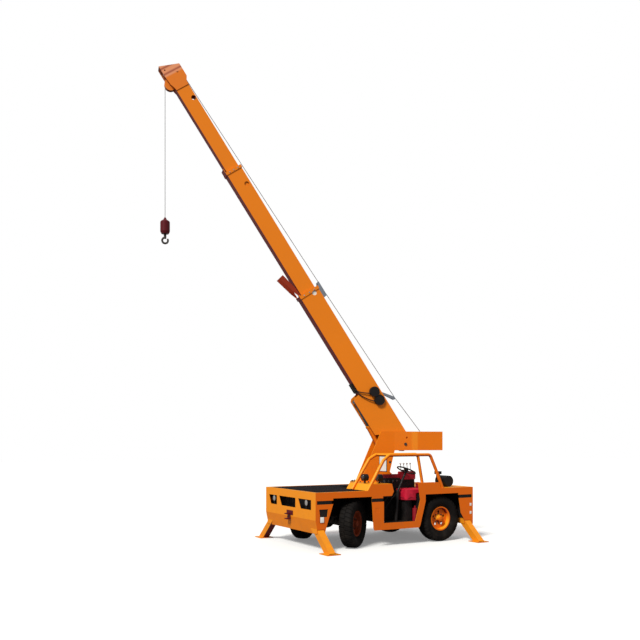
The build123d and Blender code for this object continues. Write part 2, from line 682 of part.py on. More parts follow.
def along_lift(start, end, radius):
    """A round bar along the lift cylinder, from its foot pin."""
    face = Plane(origin=lift_view.from_local_coords((start, 0, 0)), z_dir=lift_view.x_dir) * Circle(radius)
    return extrude(face, end - start, dir=lift_view.x_dir)


def lift_barrel():
    barrel = along_lift(45, barrel_length, barrel_r)
    barrel += across(lift_view, 0, 0, eye_r, -90, 90)
    barrel += along_lift(barrel_length - 45, barrel_length, barrel_r + 8)
    barrel -= along_lift(70, barrel_length + 1, rod_r + run)
    barrel -= across(lift_view, 0, 0, foot_pin_r + run, -100, 100)
    save("lift_barrel", barrel)


def lift_rod():
    rod = along_lift(lift_length - rod_length, lift_length - 20, rod_r)
    rod += across(lift_view, lift_length, 0, eye_r, -80, 80)
    pin_half = base_w / 2 - bracket_plate - 0.5
    rod += across(lift_view, lift_length, 0, foot_pin_r, -pin_half, pin_half)
    save("lift_rod", rod)


# ---- boom: three box sections, each carried in the one behind on pads ----
base_start = -110.0
base_low, base_top = -axis_drop - base_h / 2, -axis_drop + base_h / 2
# The base section's lower rear corner is cut off, to swing over the operator's roof: front, middle and rear.
heel = [(330.0, base_low), (250.0, base_low + 108), (base_start, base_low + 170)]
collar = 14.0
hole_r = 52.0
pad_gap = 0.5


def section(start, end, height, width):
    """A boom section: an open-ended box about the boom's axis."""
    low, high = -axis_drop - height / 2, -axis_drop + height / 2
    tube = box_in(boom_view, start, end, low, high, -width / 2, width / 2)
    bore = (low + boom_wall, high - boom_wall, -width / 2 + boom_wall, width / 2 - boom_wall)
    return tube - box_in(boom_view, start + boom_wall, end + 1, *bore)


def end_collar(end, height, width, length):
    """A band round a section's front end."""
    low, high = -axis_drop - height / 2, -axis_drop + height / 2
    half = width / 2 + collar
    band = box_in(boom_view, end - length, end, low - collar, high + collar, -half, half)
    return band - box_in(boom_view, end - length - 1, end + 1, low, high, -width / 2, width / 2)


def pads(end, outer_h, outer_w, inner_h, inner_w):
    """Slide pads inside a section's front end: top, bottom and both sides."""
    wall_h, wall_w = outer_h / 2 - boom_wall, outer_w / 2 - boom_wall
    near_h, near_w = inner_h / 2 + pad_gap, inner_w / 2 + pad_gap
    start, stop = end - 190, end - 20
    return [
        box_in(boom_view, start, stop, -axis_drop + near_h, -axis_drop + wall_h, -near_w + 15, near_w - 15),
        box_in(boom_view, start, stop, -axis_drop - wall_h, -axis_drop - near_h, -near_w + 15, near_w - 15),
        box_in(boom_view, start, stop, -axis_drop - near_h + 15, -axis_drop + near_h - 15, near_w, wall_w),
        box_in(boom_view, start, stop, -axis_drop - near_h + 15, -axis_drop + near_h - 15, -wall_w, -near_w),
    ]


mid_low = -axis_drop - mid_h / 2
tip_low, tip_top = -axis_drop - tip_h / 2, -axis_drop + tip_h / 2


def boom_base():
    base = prism(
        boom_view,
        [(base_start, base_top), (base_end, base_top), (base_end, base_low)] + heel,
        -base_w / 2, base_w / 2,
    )
    back, floor, roof = base_start + boom_wall, base_low + boom_wall, base_top - boom_wall
    bore = [(back, roof), (base_end + 1, roof), (base_end + 1, floor), (heel[0][0] + 4, floor)]
    bore += [(heel[1][0] + 6, heel[1][1] + boom_wall), (back, heel[2][1] + boom_wall)]
    base -= prism(boom_view, bore, boom_wall - base_w / 2, base_w / 2 - boom_wall)
    base += across(boom_view, 0, 0, 70, -turret_in + 5, turret_in - 5)
    base += end_collar(base_end, base_h, base_w, 70)
    bracket = [(440.0, base_low), (540.0, -470.0), (1400.0, -470.0), (1450.0, -420.0), (1470.0, base_low)]
    base += both_plates(boom_view, bracket, base_w / 2 - bracket_plate, bracket_plate)
    tongue = [(base_end - 10, base_low), (base_end + 140, base_low - 60), (base_end + 540, base_low - 170)]
    tongue += [(base_end + 560, base_low - 70), (base_end + 180, base_low + 20), (base_end, base_low + 20)]
    base += both_plates(boom_view, tongue, base_w / 2 - bracket_plate, bracket_plate)
    base -= across(boom_view, 0, 0, pin_r + run, -300, 300)
    base -= across(boom_view, base_end - 100, 40, hole_r, -300, 300)
    save("boom_base", base)


def base_pads():
    save("base_pads", *pads(base_end, base_h, base_w, mid_h, mid_w))


def boom_fittings():
    """Hose reels, the rope's guide arm and guide roller, and the valve block under the boom."""
    side = -base_w / 2
    reels = across(boom_view, 1340, 18, 108, side - 75, side)
    reels += across(boom_view, 1125, 22, 112, side - 60, side)
    arm = box_in(boom_view, 1180, 1260, base_top, base_top + 12, -60, 60)
    arm_side = [(1250, base_top + 12), (1190, base_top + 12), (930, 350), (930, 392), (985, 392)]
    for low in (-40, 30):
        arm += prism(boom_view, arm_side, low, low + 10)
    arm += across(boom_view, 960, 370, 24, -40, 40)
    guide = box_in(boom_view, 3600, 3815, base_top, base_top + 10, -70, 70)
    guide_side = [(3610, base_top), (3800, base_top), (3960, base_top + 75)]
    guide_side += [(3960, base_top + 110), (3620, base_top + 110)]
    for low in (-56, 46):
        guide += prism(boom_view, guide_side, low, low + 10)
    guide += across(boom_view, 3925, base_top + 85, 20, -50, 50)
    save("rope_guides", arm, guide)
    save("hose_reels", reels, box_in(boom_view, 1520, 1740, base_low - 48, base_low, -90, 60))


mid_start = base_end - mid_in_base
tip_start = mid_end - tip_in_mid


def boom_mid():
    mid = section(mid_start, mid_end, mid_h, mid_w)
    mid += end_collar(mid_end, mid_h, mid_w, 60)
    lip = box_in(boom_view, mid_end, mid_end + 90, mid_low - collar, mid_low - 2, -mid_w / 2, mid_w / 2)
    mid += lip
    mid -= across(boom_view, mid_end - 400, 30, hole_r - 2, -300, 300)
    save("boom_mid", mid)


def mid_pads():
    save("mid_pads", *pads(mid_end, mid_h, mid_w, tip_h, tip_w))


def boom_tip():
    tip = section(tip_start, tip_end, tip_h, tip_w)
    tip -= across(boom_view, tip_end - 345, 30, hole_r - 4, -300, 300)
    tip -= box_in(boom_view, tip_end - 30, tip_end + 1, tip_low - 1, tip_low + boom_wall + 1, -30, 30)
    save("boom_tip", tip)


# ---- boom head, sheaves, rope and hook ----
cheek = 12.0
guard_in = 30.0
guard_r = sheave_r + 22.0
head_end = 9275.0
# The head's sloped front: its foot, its top and how far it leans back.
nose_low, nose_top, nose_back = -262.0, 146.0, 130.0
sheave_pin_r = 22.0


def nose_point(n):
    """A point on the head's sloped front, by its height over the boom's foot pin."""
    return head_end - nose_back * (n - nose_low) / (nose_top - nose_low), n


def boom_head():
    half = tip_w / 2
    outline = [(tip_end - 70, tip_low), (tip_end, -215.0), (tip_end + 80, -245.0), (tip_end + 260, nose_low)]
    outline += [(head_end, nose_low), (head_end - nose_back, nose_top), (tip_end + 90, nose_top)]
    outline += [(tip_end + 5, tip_top), (tip_end - 70, tip_top)]
    head = both_plates(boom_view, outline, half, cheek)
    head += box_in(boom_view, tip_end, tip_end + 250, tip_low, tip_low + cheek, -half, half)
    head -= box_in(boom_view, tip_end, tip_end + 251, tip_low - 1, tip_low + cheek + 1, -guard_in, guard_in)
    for low, high in ((nose_low, -60.0), (60.0, nose_top)):
        front = [nose_point(low), nose_point(high)]
        back = [(s - cheek, n) for s, n in front[::-1]]
        head += prism(boom_view, front + back, -half, half)
    x, y = sheave_at
    hanger = [(x - 90, tip_low), (x + 70, tip_low), (x + guard_r, y), (x - guard_r, y)]
    for low in (guard_in, -guard_in - cheek):
        head += prism(boom_view, hanger, low, low + cheek)
        head += across(boom_view, x, y, guard_r, low, low + cheek)
    head += across(boom_view, x, y, sheave_pin_r, -guard_in - cheek - 8, guard_in + cheek + 8)
    head += across(boom_view, *idler_at, sheave_pin_r, -half - cheek - 10, half + cheek + 10)
    head -= box_in(boom_view, tip_end - 300, tip_end, tip_low, tip_top, -half, half)
    head -= across(boom_view, *jib_at, jib_bore_r, -300, 300)
    save("boom_head", head)


jib_at, jib_bore_r = (9155.0, -195.0), 16.0


def sheave(centre, radius, width):
    """A grooved sheave on its pin."""
    half, edge = width / 2, radius + 14
    groove = [(-half, sheave_pin_r + run), (-half, edge), (-half + 5, edge), (-rope_r, radius)]
    groove += [(rope_r, radius), (half - 5, edge), (half, edge), (half, sheave_pin_r + run)]
    wheel = revolve(make_face(Polyline(*groove, close=True)), axis=Axis.X)
    place = Plane(origin=boom_view.from_local_coords((centre[0], centre[1], 0)), x_dir=boom_view.z_dir,
                  z_dir=boom_view.x_dir)
    return place * wheel


def head_sheaves():
    save("head_sheaves", sheave(sheave_at, sheave_r, 2 * guard_in - 6), sheave(idler_at, idler_r, 46))


sheave_world = boom_view.from_local_coords((sheave_at[0], sheave_at[1], 0))
fall_r = turret_view.to_local_coords(sheave_world).X + sheave_r + rope_r
fall_top = sheave_world.Z
weight_top = fall_top - rope_drop
hook_gap = 0.3


def fall_point(z):
    return turret_view.from_local_coords((fall_r, z, 0))


def rope_and_hook():
    save("fall_rope", bar(tuple(fall_point(weight_top + hook_gap)), tuple(fall_point(fall_top)), rope_r))
    low = weight_top - weight_h
    outline = [(0, weight_top), (16, weight_top), (34, weight_top - 40), (weight_r - 8, weight_top - 78)]
    outline += [(weight_r, weight_top - 95), (weight_r, low + 45), (weight_r - 22, low), (0, low)]
    axis_at = fall_point(0)
    turned = revolve(make_face(Plane.XZ * Polyline(*outline, close=True)), axis=Axis.Z)
    save("hook_weight", Pos(axis_at.X, axis_at.Y, 0) * turned)
    ring_r_mid, ring_thick = 58.0, 20.0
    shank_low = low - hook_gap - 85
    centre_z = shank_low - ring_r_mid + 6
    path = turret_view * CenterArc((fall_r, centre_z), ring_r_mid, 90, -292)
    start = Plane(origin=path @ 0, z_dir=path % 0)
    hook = sweep(start * Circle(ring_thick), path=path)
    hook += Pos(*(path @ 1)) * Sphere(ring_thick)
    hook += bar(tuple(fall_point(shank_low - 14)), tuple(fall_point(low - hook_gap)), 26)
    save("hook", hook)


os.makedirs("parts", exist_ok=True)
for make in (
    chassis_frame, front_bumper, rear_bumper, deck_frame, deck_plate, rear_deck, side_strips,
    outrigger_sleeves, outrigger_legs, drive_line, wheels,
    cab_cowl, cab_side, cab_tub, engine_side, engine, roll_frame, seat, controls, steering, cab_fittings,
    body_fittings, turret_frame, turret_pins, lift_barrel, lift_rod,
    boom_base, base_pads, boom_fittings, boom_mid, mid_pads, boom_tip, boom_head, head_sheaves,
    rope_and_hook,
):
    make()
knuckle(1, "left")
knuckle(-1, "right")
save("axles", front_axle(), rear_axle())
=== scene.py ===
import math
import json

import bmesh
import bpy
from mathutils import Matrix, Vector


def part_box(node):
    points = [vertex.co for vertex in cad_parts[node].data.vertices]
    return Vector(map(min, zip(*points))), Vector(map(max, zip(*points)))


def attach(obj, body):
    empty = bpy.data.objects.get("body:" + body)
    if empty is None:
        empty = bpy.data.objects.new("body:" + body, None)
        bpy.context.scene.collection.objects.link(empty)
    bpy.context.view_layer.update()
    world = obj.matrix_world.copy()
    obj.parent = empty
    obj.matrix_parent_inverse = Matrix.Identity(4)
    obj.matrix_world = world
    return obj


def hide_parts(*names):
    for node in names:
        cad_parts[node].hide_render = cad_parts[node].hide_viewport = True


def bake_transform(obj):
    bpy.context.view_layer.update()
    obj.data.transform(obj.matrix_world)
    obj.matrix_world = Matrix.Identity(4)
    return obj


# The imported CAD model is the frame. Its joints give the boom's and the turret's own directions,
# so that points can be given along the boom (s), square to it (n) and across it (w).
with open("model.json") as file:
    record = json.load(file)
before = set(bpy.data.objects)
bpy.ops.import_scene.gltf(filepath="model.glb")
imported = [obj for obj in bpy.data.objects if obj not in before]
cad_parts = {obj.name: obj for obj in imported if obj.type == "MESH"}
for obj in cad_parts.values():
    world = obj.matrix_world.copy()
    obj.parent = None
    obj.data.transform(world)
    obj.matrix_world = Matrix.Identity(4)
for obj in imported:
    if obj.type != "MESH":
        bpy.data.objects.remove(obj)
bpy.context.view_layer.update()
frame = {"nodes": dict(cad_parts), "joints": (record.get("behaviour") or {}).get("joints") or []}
joints = {joint["name"]: joint for joint in frame["joints"]}
UP = Vector((0, 0, 1))
ACROSS = Vector(joints["boom_lift"]["axis"]).normalized()
PIVOT = Vector(joints["boom_lift"]["pos_m"])
ALONG = Vector(joints["boom_extend"]["axis"]).normalized()
SQUARE = ACROSS.cross(ALONG)
AHEAD = UP.cross(ACROSS)


def boom_point(s, n, w=0.0):
    return PIVOT + ALONG * s + SQUARE * n + ACROSS * w


def turret_point(r, z, w=0.0):
    return AHEAD * r + UP * z + ACROSS * w


# Shader groups shared by the materials: patchy colour, grime that settles low and in patches,
# paint rubbed off on edges, and a fine surface bump. Each is built once.
def new_group(name, inputs, outputs):
    group = bpy.data.node_groups.new(name, "ShaderNodeTree")
    for label, kind, value in inputs:
        socket = group.interface.new_socket(label, in_out="INPUT", socket_type="NodeSocket" + kind)
        socket.default_value = value
    for label, kind in outputs:
        group.interface.new_socket(label, in_out="OUTPUT", socket_type="NodeSocket" + kind)
    return group, group.nodes.new("NodeGroupInput"), group.nodes.new("NodeGroupOutput")


def add(tree, kind, links=None, **settings):
    """A shader node with its settings, its constants and what its sockets are joined to."""
    node = tree.nodes.new("ShaderNode" + kind)
    for key, value in settings.items():
        setattr(node, key, value)
    for key, value in (links or {}).items():
        if isinstance(value, bpy.types.NodeSocket):
            tree.links.new(value, node.inputs[key])
        else:
            node.inputs[key].default_value = value
    return node


def mixed(tree, factor, first, second, blend="MIX"):
    node = add(tree, "Mix", data_type="RGBA", blend_type=blend)
    for index, value in ((0, factor), (6, first), (7, second)):
        if isinstance(value, bpy.types.NodeSocket):
            tree.links.new(value, node.inputs[index])
        else:
            node.inputs[index].default_value = value
    return node.outputs[2]


def patch_group():
    """Colour that drifts a little over the surface, as paint does after years outdoors."""
    tree, start, end = new_group(
        "Patchy colour",
        [("Color", "Color", (1, 1, 1, 1)), ("Scale", "Float", 1.5), ("Drift", "Float", 0.15)],
        [("Color", "Color")],
    )
    place = add(tree, "TexCoord").outputs["Object"]
    noise = add(tree, "TexNoise", {"Vector": place, "Scale": start.outputs["Scale"], "Detail": 5.0})
    spread = add(tree, "MapRange", {"Value": noise.outputs[0], "From Min": 0.3, "From Max": 0.7})
    amount = add(tree, "Math", {0: spread.outputs[0], 1: start.outputs["Drift"]}, operation="MULTIPLY")
    darker = mixed(tree, 1.0, start.outputs["Color"], (0.55, 0.5, 0.46, 1), "MULTIPLY")
    tree.links.new(mixed(tree, amount.outputs[0], start.outputs["Color"], darker), end.inputs[0])
    return tree


def grime_group():
    """Road dirt: thick near the ground and thin patches above."""
    tree, start, end = new_group(
        "Grime",
        [("Color", "Color", (1, 1, 1, 1)), ("Dirt", "Color", (0.10, 0.075, 0.055, 1)),
         ("Amount", "Float", 0.5), ("Top height", "Float", 0.9)],
        [("Color", "Color"), ("Mask", "Float")],
    )
    place = add(tree, "TexCoord").outputs["Object"]
    height = add(tree, "SeparateXYZ", {0: place}).outputs[2]
    low = add(tree, "MapRange", {"Value": height, "From Min": start.outputs["Top height"], "From Max": 0.0})
    noise = add(tree, "TexNoise", {"Vector": place, "Scale": 6.0, "Detail": 8.0, "Roughness": 0.65})
    patches = add(tree, "MapRange", {"Value": noise.outputs[0], "From Min": 0.42, "From Max": 0.75})
    base = add(tree, "Math", {0: low.outputs[0], 1: 0.22}, operation="ADD")
    both = add(tree, "Math", {0: base.outputs[0], 1: patches.outputs[0]}, operation="MULTIPLY")
    amounts = {0: both.outputs[0], 1: start.outputs["Amount"]}
    mask = add(tree, "Math", amounts, operation="MULTIPLY", use_clamp=True)
    tree.links.new(mixed(tree, mask.outputs[0], start.outputs["Color"], start.outputs["Dirt"]), end.inputs[0])
    tree.links.new(mask.outputs[0], end.inputs[1])
    return tree


def edge_group():
    """Where an edge is rubbed: 1 on worn edges, 0 elsewhere, broken up by noise."""
    tree, start, end = new_group(
        "Worn edges",
        [("Radius", "Float", 0.006), ("Amount", "Float", 0.6)],
        [("Mask", "Float")],
    )
    place = add(tree, "TexCoord").outputs["Object"]
    rounded = add(tree, "Bevel", {"Radius": start.outputs["Radius"]}, samples=4)
    plain = add(tree, "NewGeometry").outputs["Normal"]
    turn = add(tree, "VectorMath", {0: rounded.outputs[0], 1: plain}, operation="DOT_PRODUCT")
    edge = add(tree, "MapRange", {"Value": turn.outputs["Value"], "From Min": 0.97, "From Max": 0.80})
    noise = add(tree, "TexNoise", {"Vector": place, "Scale": 14.0, "Detail": 7.0, "Roughness": 0.7})
    broken = add(tree, "MapRange", {"Value": noise.outputs[0], "From Min": 0.50, "From Max": 0.62})
    both = add(tree, "Math", {0: edge.outputs[0], 1: broken.outputs[0]}, operation="MULTIPLY")
    amounts = {0: both.outputs[0], 1: start.outputs["Amount"]}
    mask = add(tree, "Math", amounts, operation="MULTIPLY", use_clamp=True)
    tree.links.new(mask.outputs[0], end.inputs[0])
    return tree


def bump_group():
    """A fine surface: noise of one scale and strength, as a normal."""
    tree, start, end = new_group(
        "Fine surface",
        [("Scale", "Float", 300.0), ("Strength", "Float", 0.1), ("Depth", "Float", 0.001)],
        [("Normal", "Vector"), ("Height", "Float")],
    )
    place = add(tree, "TexCoord").outputs["Object"]
    noise = add(tree, "TexNoise", {"Vector": place, "Scale": start.outputs["Scale"], "Detail": 3.0})
    bump = add(tree, "Bump", {
        "Height": noise.outputs[0], "Strength": start.outputs["Strength"],
        "Distance": start.outputs["Depth"]})
    tree.links.new(bump.outputs[0], end.inputs[0])
    tree.links.new(noise.outputs[0], end.inputs[1])
    return tree


patchy, grime, worn, surface = patch_group(), grime_group(), edge_group(), bump_group()


def use(tree, group, links):
    node = add(tree, "Group")
    node.node_tree = group
    for key, value in links.items():
        if isinstance(value, bpy.types.NodeSocket):
            tree.links.new(value, node.inputs[key])
        else:
            node.inputs[key].default_value = value
    return node


def new_material(name):
    material = bpy.data.materials.new(name)
    material.use_nodes = True
    tree = material.node_tree
    return material, tree, tree.nodes["Principled BSDF"]


def finish_with(tree, shader, values):
    for key, value in values.items():
        if isinstance(value, bpy.types.NodeSocket):
            tree.links.new(value, shader.inputs[key])
        else:
            shader.inputs[key].default_value = value


def paint(name, color, under, roughness, drift, dirt, wear, coat=0.08, metal=0.0,
          grain=(350.0, 0.06), painted_highlight=None, bands=()):
    """Painted metal: drifting colour, dirt, edges rubbed down to what is under the paint. A painted
    highlight lightens what faces up and, less, to the front; with it, what faces the ground is darkened
    by a painted shadow colour. Bands are (direction, start, end, colour, amount) across the object."""
    material, tree, shader = new_material(name)
    # shadow is the painted shade colour for what faces the ground; fade is the soft edge of a band.
    shadow, fade = (0.20, 0.008, 0.010, 1), 0.03
    base = use(tree, patchy, {"Color": (*color, 1), "Scale": 1.1, "Drift": drift}).outputs[0]
    # Painted highlight on faces turned up toward the light, and painted shadow on faces turned to the ground.
    if painted_highlight:
        normal = add(tree, "TexCoord").outputs["Normal"]
        toward = add(tree, "VectorMath", {0: normal, 1: (0.62, 0.10, 0.78)}, operation="DOT_PRODUCT")
        lit_share = add(tree, "MapRange", {
            "Value": toward.outputs["Value"], "From Min": 0.15, "From Max": 0.85})
        base = mixed(tree, lit_share.outputs[0], base, (*painted_highlight, 1))
        down = add(tree, "SeparateXYZ", {0: normal}).outputs[2]
        shaded_underside = add(tree, "MapRange", {"Value": down, "From Min": -0.40, "From Max": -0.53})
        base = mixed(tree, shaded_underside.outputs[0], base, shadow)
    for direction, first, last, band_color, amount in bands:
        place = add(tree, "TexCoord").outputs["Object"]
        along = add(tree, "VectorMath", {0: place, 1: direction}, operation="DOT_PRODUCT").outputs["Value"]
        rise = add(tree, "MapRange", {
            "Value": along, "From Min": first - fade, "From Max": first, "To Max": amount})
        fall = add(tree, "MapRange", {
            "Value": along, "From Min": last, "From Max": last + fade, "To Min": 1.0, "To Max": 0.0})
        within = add(tree, "Math", {0: rise.outputs[0], 1: fall.outputs[0]}, operation="MULTIPLY")
        base = mixed(tree, within.outputs[0], base, (*band_color, 1))
    dirty = use(tree, grime, {"Color": base, "Amount": dirt})
    edge = use(tree, worn, {"Amount": wear}).outputs[0]
    shown = mixed(tree, edge, dirty.outputs[0], (*under, 1))
    rough = add(tree, "MapRange", {"Value": dirty.outputs[1], "To Min": roughness, "To Max": 0.85})
    finish_with(tree, shader, {
        "Base Color": shown, "Roughness": rough.outputs[0], "Metallic": metal, "Coat Weight": coat,
        "Coat Roughness": 0.12, "Specular IOR Level": 0.18,
        "Normal": use(tree, surface, {"Scale": grain[0], "Strength": grain[1]}).outputs[0]})
    return material


# The materials: the orange paints with a painted highlight and painted shadow, black and red
# paints, the rims' dark paint as painted shade, the non-skid deck, rubbers, a black strip as
# painted shade, the seat's coated cloth, bare and plated steels with the rod darkened as painted
# shade, rope, nylon, lamp glass and the blank card.
WORN_TO = (0.16, 0.07, 0.04)
DEEP_RED = (0.22, 0.01, 0.01)
FOOT_PIN = PIVOT.dot(ALONG)
orange = paint("Orange paint", (0.80, 0.145, 0.002), WORN_TO, 0.45, 0.08, 0.2, 0.5, coat=0.04,
               painted_highlight=(0.86, 0.34, 0.012))
turret_paint = paint(
    "Turret paint", (0.80, 0.155, 0.002), WORN_TO, 0.45, 0.08, 0.2, 0.5, coat=0.04, painted_highlight=(0.86, 0.34, 0.012),
    bands=[(AHEAD, -1.01, -0.88, (0.88, 0.27, 0.015), 0.85), (AHEAD, -0.88, -0.50, (0.84, 0.20, 0.008), 0.7)])
boom_paint = paint(
    "Boom paint", (0.82, 0.190, 0.006), WORN_TO, 0.45, 0.10, 0.1, 0.5, coat=0.04, painted_highlight=(0.84, 0.36, 0.02))
head_paint = paint(
    "Boom head paint", (0.80, 0.17, 0.01), (0.20, 0.02, 0.015), 0.5, 0.25, 0.2, 1.0, coat=0.02,
    painted_highlight=(0.86, 0.40, 0.06),
    bands=[(ALONG, FOOT_PIN + 9.04, FOOT_PIN + 9.60, (0.80, 0.42, 0.28), 0.5),
           (ALONG, FOOT_PIN + 9.08, FOOT_PIN + 9.085, DEEP_RED, 0.7),
           (ALONG, FOOT_PIN + 9.20, FOOT_PIN + 9.205, DEEP_RED, 0.7)])
# The base section's dark red band is painted shade on the bracket under its end.
tongue_paint = paint(
    "Boom base paint", (0.82, 0.190, 0.006), WORN_TO, 0.45, 0.10, 0.1, 0.5, coat=0.04,
    painted_highlight=(0.84, 0.36, 0.02), bands=[(ALONG, FOOT_PIN + 3.94, FOOT_PIN + 4.7, (0.22, 0.008, 0.008), 0.9)])
# The front rims and hub caps: dark brown as painted shade, for wheels in shade under the deck; the grime on
# it is dirt.
shade_paint = paint(
    "Rim in painted shade", (0.22, 0.030, 0.006), (0.06, 0.03, 0.02), 0.55, 0.3, 0.5, 1.0, coat=0.02)
dark_red = paint("Dark red paint", (0.11, 0.004, 0.010), (0.05, 0.03, 0.03), 0.4, 0.3, 0.3, 0.5)
black = paint("Black paint", (0.010, 0.009, 0.010), (0.12, 0.11, 0.10), 0.5, 0.3, 0.3, 0.4)
red = paint("Red paint", (0.30, 0.006, 0.018), (0.10, 0.05, 0.05), 0.34, 0.2, 0.3, 0.5)
cast = paint("Cast steel", (0.075, 0.070, 0.066), (0.35, 0.33, 0.31), 0.62, 0.4, 0.5, 0.6, coat=0.0,
             metal=0.6, grain=(120.0, 0.3))
white_card = paint("White card", (0.80, 0.79, 0.77), (0.5, 0.5, 0.5), 0.45, 0.08, 0.12, 0.2)
nylon = paint("Nylon pad", (0.78, 0.76, 0.70), (0.6, 0.58, 0.52), 0.5, 0.1, 0.2, 0.2, coat=0.0)


def non_skid():
    """The deck's black non-skid coat: sharp grit, scuffed grey where loads have stood."""
    material, tree, shader = new_material("Non-skid deck")
    place = add(tree, "TexCoord").outputs["Object"]
    grit = add(tree, "TexVoronoi", {"Vector": place, "Scale": 260.0}, feature="F1")
    scuff = add(tree, "TexNoise", {"Vector": place, "Scale": 3.5, "Detail": 9.0, "Roughness": 0.75})
    patch = add(tree, "MapRange", {"Value": scuff.outputs[0], "From Min": 0.56, "From Max": 0.80})
    dirty = use(tree, grime, {"Color": (0.008, 0.007, 0.009, 1), "Amount": 0.3, "Top height": 0.4})
    shown = mixed(tree, patch.outputs[0], dirty.outputs[0], (0.035, 0.032, 0.036, 1))
    bump = add(tree, "Bump", {"Height": grit.outputs["Distance"], "Strength": 0.6, "Distance": 0.002})
    finish_with(tree, shader, {
        "Base Color": shown, "Roughness": 0.9, "Specular IOR Level": 0.08, "Normal": bump.outputs[0]})
    return material


def rubber(name, color, dirt, roughness, scale):
    material, tree, shader = new_material(name)
    base = use(tree, patchy, {"Color": (*color, 1), "Scale": 5.0, "Drift": 0.4}).outputs[0]
    dirty = use(tree, grime, {"Color": base, "Dirt": (0.11, 0.09, 0.07, 1), "Amount": dirt})
    finish_with(tree, shader, {
        "Base Color": dirty.outputs[0], "Roughness": roughness, "Specular IOR Level": 0.12,
        "Normal": use(tree, surface, {"Scale": scale, "Strength": 0.25}).outputs[0]})
    return material


def coated_cloth():
    """The seat's red coated cloth: a fine leather-like grain and a soft sheen."""
    material, tree, shader = new_material("Red coated cloth")
    place = add(tree, "TexCoord").outputs["Object"]
    cells = add(tree, "TexVoronoi", {"Vector": place, "Scale": 420.0}, feature="DISTANCE_TO_EDGE")
    base = use(tree, patchy, {"Color": (0.58, 0.006, 0.036, 1), "Scale": 9.0, "Drift": 0.5}).outputs[0]
    creases = add(tree, "TexNoise", {"Vector": place, "Scale": 35.0, "Detail": 4.0})
    height = add(tree, "Math", {0: cells.outputs["Distance"], 1: creases.outputs[0]}, operation="ADD")
    bump = add(tree, "Bump", {"Height": height.outputs[0], "Strength": 0.35, "Distance": 0.0015})
    finish_with(tree, shader, {
        "Base Color": base, "Roughness": 0.5, "Sheen Weight": 0.04, "Sheen Roughness": 0.5,
        "Coat Weight": 0.1, "Specular IOR Level": 0.3, "Normal": bump.outputs[0]})
    return material


def steel(name, color, roughness, streaks):
    """Bare or plated steel with fine lines and a film of oil."""
    material, tree, shader = new_material(name)
    place = add(tree, "TexCoord").outputs["Object"]
    squeeze = add(tree, "Mapping", {"Vector": place, "Scale": (160.0, 160.0, 6.0)})
    lines = add(tree, "TexNoise", {"Vector": squeeze.outputs[0], "Scale": 2.0, "Detail": 4.0})
    base = use(tree, patchy, {"Color": (*color, 1), "Scale": 7.0, "Drift": 0.35}).outputs[0]
    rough = add(tree, "MapRange", {
        "Value": lines.outputs[0], "To Min": roughness, "To Max": roughness + streaks})
    bump = add(tree, "Bump", {"Height": lines.outputs[0], "Strength": 0.08, "Distance": 0.001})
    finish_with(tree, shader, {
        "Base Color": base, "Roughness": rough.outputs[0], "Metallic": 0.95, "Normal": bump.outputs[0]})
    return material


def wire_rope():
    """Galvanised wire rope: strands that wind round it, greasy between them."""
    material, tree, shader = new_material("Wire rope")
    place = add(tree, "TexCoord").outputs["Object"]
    twist = {"Vector": place, "Scale": 26.0, "Distortion": 0.4}
    strands = add(tree, "TexWave", twist, bands_direction="DIAGONAL")
    shown = mixed(tree, strands.outputs["Fac"], (0.10, 0.10, 0.10, 1), (0.42, 0.42, 0.43, 1))
    bump = add(tree, "Bump", {"Height": strands.outputs["Fac"], "Strength": 0.8, "Distance": 0.002})
    finish_with(tree, shader, {
        "Base Color": shown, "Roughness": 0.5, "Metallic": 0.75, "Normal": bump.outputs[0]})
    return material


def lamp_glass(name, color, glow):
    """A lamp's moulded lens: clear plastic over a reflector, with fine vertical flutes."""
    material, tree, shader = new_material(name)
    place = add(tree, "TexCoord").outputs["Object"]
    flutes = add(tree, "TexWave", {"Vector": place, "Scale": 30.0}, bands_direction="Y")
    bump = add(tree, "Bump", {"Height": flutes.outputs["Fac"], "Strength": 0.4, "Distance": 0.002})
    finish_with(tree, shader, {
        "Base Color": (*color, 1), "Roughness": 0.12, "Coat Weight": 0.8, "Normal": bump.outputs[0],
        "Emission Color": (*color, 1), "Emission Strength": glow})
    return material


deck_coat = non_skid()
tyre_rubber = rubber("Tyre rubber", (0.006, 0.005, 0.005), 0.16, 0.72, 90.0)
# The side strips are a black strip as painted shade for the shadowed gap under the deck rail.
shade_strip = rubber("Black strip in painted shade", (0.012, 0.012, 0.012), 0.25, 0.6, 200.0)
hose_rubber = rubber("Hose rubber", (0.018, 0.018, 0.018), 0.2, 0.5, 400.0)
seat_cloth = coated_cloth()
bright = steel("Bright steel", (0.55, 0.55, 0.56), 0.28, 0.18)
guide_steel = steel("Guide steel", (0.40, 0.44, 0.50), 0.35, 0.12)
# The lift rod's plated steel is darkened as painted shade, for a rod that lies in shade under the boom.
plated = steel("Plated rod in painted shade", (0.16, 0.16, 0.17), 0.10, 0.08)
rope_steel = wire_rope()
clear_lens = lamp_glass("Clear lens", (0.30, 0.29, 0.28), 0.0)
white_lens = lamp_glass("White lens", (0.80, 0.80, 0.78), 0.10)
dark_lens = lamp_glass("Dark lens", (0.03, 0.03, 0.035), 0.0)
